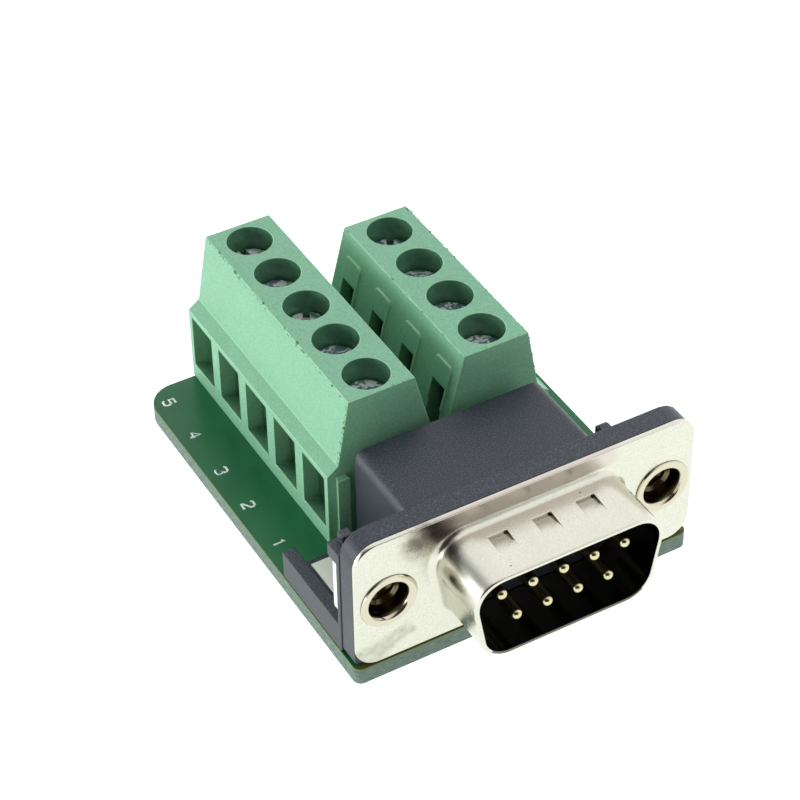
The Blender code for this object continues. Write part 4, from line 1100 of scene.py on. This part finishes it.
def housing_mesh(side, count, low, high):
    """A whole housing: its profile, tongues, rib, groove, wells, rooms, mouths, slots and wear."""
    front, back = low.y + RIB_PROUD, high.y
    profile = [
        (HOUSING_BACK_X, 0), (HOUSING_MOUTH_X, 0), (HOUSING_MOUTH_X, HOUSING_LIP),
        (HOUSING_LEDGE_X, HOUSING_LEDGE), (HOUSING_TOP_OUTER_X, HOUSING_HEIGHT),
        (HOUSING_TOP_INNER_X, HOUSING_HEIGHT), (HOUSING_BACK_X, HOUSING_KNEE),
    ]
    corners = [at_height(side * x, front, z) for x, z in profile]
    body = thicken(rounded_face(corners), (0, back - front, 0))
    middles = pole_rows(count, low, high)
    tongues, wells, holes, rooms, mouths, slots = [], [], [], [], [], []
    for y in middles:
        tongues.append(tongue_mesh(side, y - REAR_FORWARD))
        for cutters, floor_height, top_height, radius, segments in (
            (wells, WELL_FLOOR, HOUSING_HEIGHT + SPARE, WELL_RADIUS, 64),
            (holes, ROOM_TOP - SPARE, WELL_FLOOR + SPARE, SHANK_HOLE_RADIUS, 48),
        ):
            foot, head = (at_height(side * SCREW_X, y, z) for z in (floor_height, top_height))
            cutters.append(rod(foot, head, radius, segments))
        left, right = y - ROOM_WIDTH / 2, y + ROOM_WIDTH / 2
        rooms.append(block(
            at_height(side * ROOM_INNER_X, left, ROOM_FLOOR),
            at_height(side * ROOM_OUTER_X, right, ROOM_TOP),
        ))
        inner, outer = ROOM_OUTER_X - OVERLAP, HOUSING_MOUTH_X + SPARE
        mouth = [
            at_height(side * x, y - MOUTH_WIDTH / 2, z) for x, z in (
                (outer, MOUTH_TOP), (outer, SILL_OUTER), (HOUSING_MOUTH_X, SILL_OUTER),
                (inner, SILL_INNER), (inner, MOUTH_TOP),
            )
        ]
        mouths.append(thicken(rounded_face(mouth), (0, MOUTH_WIDTH, 0)))
        left = y - REAR_FORWARD - REAR_SLOT_WIDTH / 2
        right = y - REAR_FORWARD + REAR_SLOT_WIDTH / 2
        slots.append(block(
            at_height(side * (HOUSING_BACK_X - SPARE), left, REAR_SLOT_LOW),
            at_height(side * (ROOM_INNER_X + OVERLAP), right, REAR_SLOT_HIGH),
        ))
    chance = random.Random(count)
    outer_front, outer_back, inner_front, inner_back = (
        at_height(side * x, y, HOUSING_HEIGHT)
        for x in (HOUSING_TOP_OUTER_X, HOUSING_TOP_INNER_X) for y in (front, back)
    )
    outer_edge, inner_edge = (outer_front, outer_back), (inner_front, inner_back)
    end_edge = (inner_front, outer_front)
    slope_edge = (outer_front, at_height(side * HOUSING_LEDGE_X, front, HOUSING_LEDGE))
    nicks = []
    for line, number, size in (
        (outer_edge, 5 * count, 0.22 * MM), (inner_edge, 4 * count, 0.14 * MM),
        (end_edge, 8, 0.15 * MM), (slope_edge, 9, 0.18 * MM),
    ):
        nicks += chips(*line, number, size, chance)
    below = Vector((side * BURR_SINK * 0.4, BURR_SINK, -BURR_SINK))
    burrs = []
    for (start, end), number in (
        (outer_edge, 7 * count), (inner_edge, 4 * count), (slope_edge, 12), (end_edge, 10),
    ):
        first, last = start.lerp(end, 0.03) + below, end.lerp(start, 0.03) + below
        burrs += chips(first, last, number, BURR_SIZE, chance)
    cuts = [rib_mesh(side, back + GROOVE_EASE, -SPARE)]
    cuts += [gathered(cutters) for cutters in (wells, holes, rooms, mouths, slots)]
    whole = carved(
        body, ("UNION", gathered(tongues)), ("UNION", rib_mesh(side, front, 0)),
        *[("DIFFERENCE", cut) for cut in cuts],
    )
    whole = worn(whole, HOUSING_WEAR, nicks)
    # Well walls take the third finish, whose darker green is painted shade.
    for face in whole.faces:
        if in_a_well(face.calc_center_median(), face.normal, side, middles):
            face.material_index = 2
    for burr in burrs:
        for face in burr.faces:
            face.material_index = 1
    return gathered([whole, *burrs])


poles = []
for side, count, node in ((-1, 5, "terminal_housing_5way"), (1, 4, "terminal_housing_4way")):
    low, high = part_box(node)
    poles += [(side, y) for y in pole_rows(count, low, high)]
    piece(
        f"{node}_moulding", housing_mesh(side, count, low, high), [green, green_edge_wear_and_highlight, well],
        "base", [node], angle=8,
    )


# Wire cages and terminal strips: tinned brass, punched and folded. The strip runs through the cage
# and down through the board as the solder pin; the cage rises to clamp a wire against it.
SHEET_EDGE = 0.08 * MM

# Grey metal, matt and streaked, painted dark as shade so that it stays dark inside the mouths.
cage_brass_painted_dark, tree, shader, place = new_material("tinned_brass_painted_dark", "#6A675D", 0.7, 1.0)
cloudy_colour(tree, shader, place, 0.6 * MM, 4.0, 0.65, "#4A463B", "#7C7A70")
# Cages and strips take the brass whose darkness is painted shade.
for number in range(1, 10):
    cage, strip = f"wire_cage_{number}", f"terminal_pin_{number}"
    piece(
        f"cage_{number}_sheet", merged_copy(cage), [cage_brass_painted_dark], f"cage_{number}", [cage],
        SHEET_EDGE,
    )
    piece(
        f"terminal_strip_{number}", merged_copy(strip), [cage_brass_painted_dark], "base", [strip],
        SHEET_EDGE,
    )


# Solder joints: a tinned pad round every tail below the board, with a small concave fillet. Wave
# soldered, and seen only when the part is turned over.
PAD_RADIUS = 0.95 * MM
PAD_THICKNESS = 0.04 * MM
FILLET_HEIGHT = 0.75 * MM
TAIL_X = 2.65 * MM

# Bright smooth tin alloy with a faint skin.
solder, tree, shader, place = new_material("wave_solder", "#C7CBCC", 0.25, 1.0)
cloudy_shine(tree, shader, place, 0.4 * MM, 4.0, 0.12, 0.4)
fillet = [
    (PAD_RADIUS - (PAD_RADIUS - TAIL_RADIUS) * inwards, -PAD_THICKNESS - FILLET_HEIGHT * down)
    for inwards, down in quarter
]
joints = [(x, BOARD_FRONT + tail_row) for x, height, tail_row in contact_places]
joints += [(side * TAIL_X, y) for side, y in poles]
joint_meshes = [
    spun([(0, 0), (PAD_RADIUS, 0), *fillet, (0, fillet[-1][1])], (x, y, board_low.z), segments=24)
    for x, y in joints
]
piece("solder_joints", gathered(joint_meshes), [solder], "base", angle=40)


# Clamp screws: zinc-plated steel, headed, slotted and rolled with a fine thread, turned by hand
# from above. Each head rests on the floor of its well, its plating uneven and its slot bruised;
# white glints and edge highlights are painted on the heads.
SCREW_HEAD_RADIUS = 1.8 * MM
SCREW_HEAD_HEIGHT = 1.5 * MM
SCREW_EDGE = 0.11 * MM
SCREW_DOME = 0.18 * MM
SCREW_SLOT_WIDTH = 0.6 * MM
SCREW_SLOT_DEPTH = 0.7 * MM
SCREW_SHANK_RADIUS = 1.25 * MM
SCREW_ROOT_RADIUS = 1.0 * MM
SCREW_PITCH = 0.45 * MM
SCREW_TIP = 0.2 * MM
SCREW_BEVEL = 0.08 * MM
SCREW_SLOT_ANGLES = (-21, -23, 64, -5, 88, -15, -35, 10, 60)

# Bright zinc with a blue-grey skin that looks slate down the wells, with white glints painted into
# its colour in torn patches; uneven, and soft in its shine.
zinc, tree, shader, place = new_material("zinc_plated_steel", "#AFBCC9", 0.35, 0.25)
cloud = add_node(tree, "TexNoise", {
    "Vector": place, "Scale": 1 / (0.35 * MM), "Detail": 4.0, "Roughness": 0.6,
})
rough = add_node(tree, "MapRange", {"Value": cloud, "To Min": 0.2, "To Max": 0.42})
painted_glint_noise = add_node(tree, "TexNoise", {
    "Vector": place, "Scale": 1 / (0.9 * MM), "Detail": 3.0, "Distortion": 1.5,
})
# Painted glints: patches where the colour turns near white.
painted_glint_mask = add_node(tree, "MapRange", {"Value": painted_glint_noise, "From Min": 0.48, "From Max": 0.56})
colour = add_node(tree, "Mix", {"Factor": painted_glint_mask, "A": "#768A9A", "B": "#FEFFFF"}, data_type="RGBA")
bump = add_node(tree, "Bump", {"Height": cloud, "Strength": 0.9, "Distance": 0.06 * MM})
plug_in(shader, {"Base Color": colour, "Roughness": rough, "Normal": bump})

# Almost white and finely scratched: bare steel where the driver has bruised the slot, and a painted
# highlight on the other bevelled edges of the head.
edge_bruise_and_highlight, tree, shader, place = new_material("bruised_steel_and_painted_highlight", "#FBFDFE", 0.5, 0.2)
cloudy_shine(tree, shader, place, 0.2 * MM, 3.0, 0.25, 0.6)

for number, (side, y) in enumerate(poles, start=1):
    low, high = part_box(f"clamp_screw_{number}")
    crown, seat = high.z, high.z - SCREW_HEAD_HEIGHT
    head = spun(
        [
            (0, seat), (SCREW_HEAD_RADIUS - SCREW_EDGE, seat),
            (SCREW_HEAD_RADIUS, seat + SCREW_EDGE),
            *[
                (SCREW_HEAD_RADIUS * (1 - inwards), crown - SCREW_DOME * (1 - up))
                for up, inwards in quarter
            ],
        ],
        (0, 0, 0), segments=56,
    )
    slot = block(
        (-SCREW_HEAD_RADIUS * 2, -SCREW_SLOT_WIDTH / 2, crown - SCREW_SLOT_DEPTH),
        (SCREW_HEAD_RADIUS * 2, SCREW_SLOT_WIDTH / 2, crown + SPARE),
    )
    turn = Matrix.Rotation(math.radians(SCREW_SLOT_ANGLES[number - 1]), 3, "Z")
    bmesh.ops.rotate(slot, verts=slot.verts, matrix=turn)
    head = carved(head, ("DIFFERENCE", slot))
    shank = thread_tube(
        SCREW_ROOT_RADIUS, SCREW_SHANK_RADIUS, SCREW_PITCH, low.z + SCREW_TIP, seat
    )
    tip = spun(
        [
            (0, low.z), (SCREW_ROOT_RADIUS, low.z + SCREW_TIP * 0.1),
            (SCREW_ROOT_RADIUS, low.z + SCREW_TIP * 1.25),
        ],
        (0, 0, 0),
    )
    screw = gathered([head, shank, tip])
    bmesh.ops.translate(screw, verts=screw.verts, vec=(side * SCREW_X, y, 0))
    # The bevelled edges take the second finish: bruise and painted highlight.
    piece(
        f"screw_{number}", screw, [zinc, edge_bruise_and_highlight], f"screw_{number}",
        [f"clamp_screw_{number}"], SCREW_BEVEL, angle=50, edge_finish=1,
    )
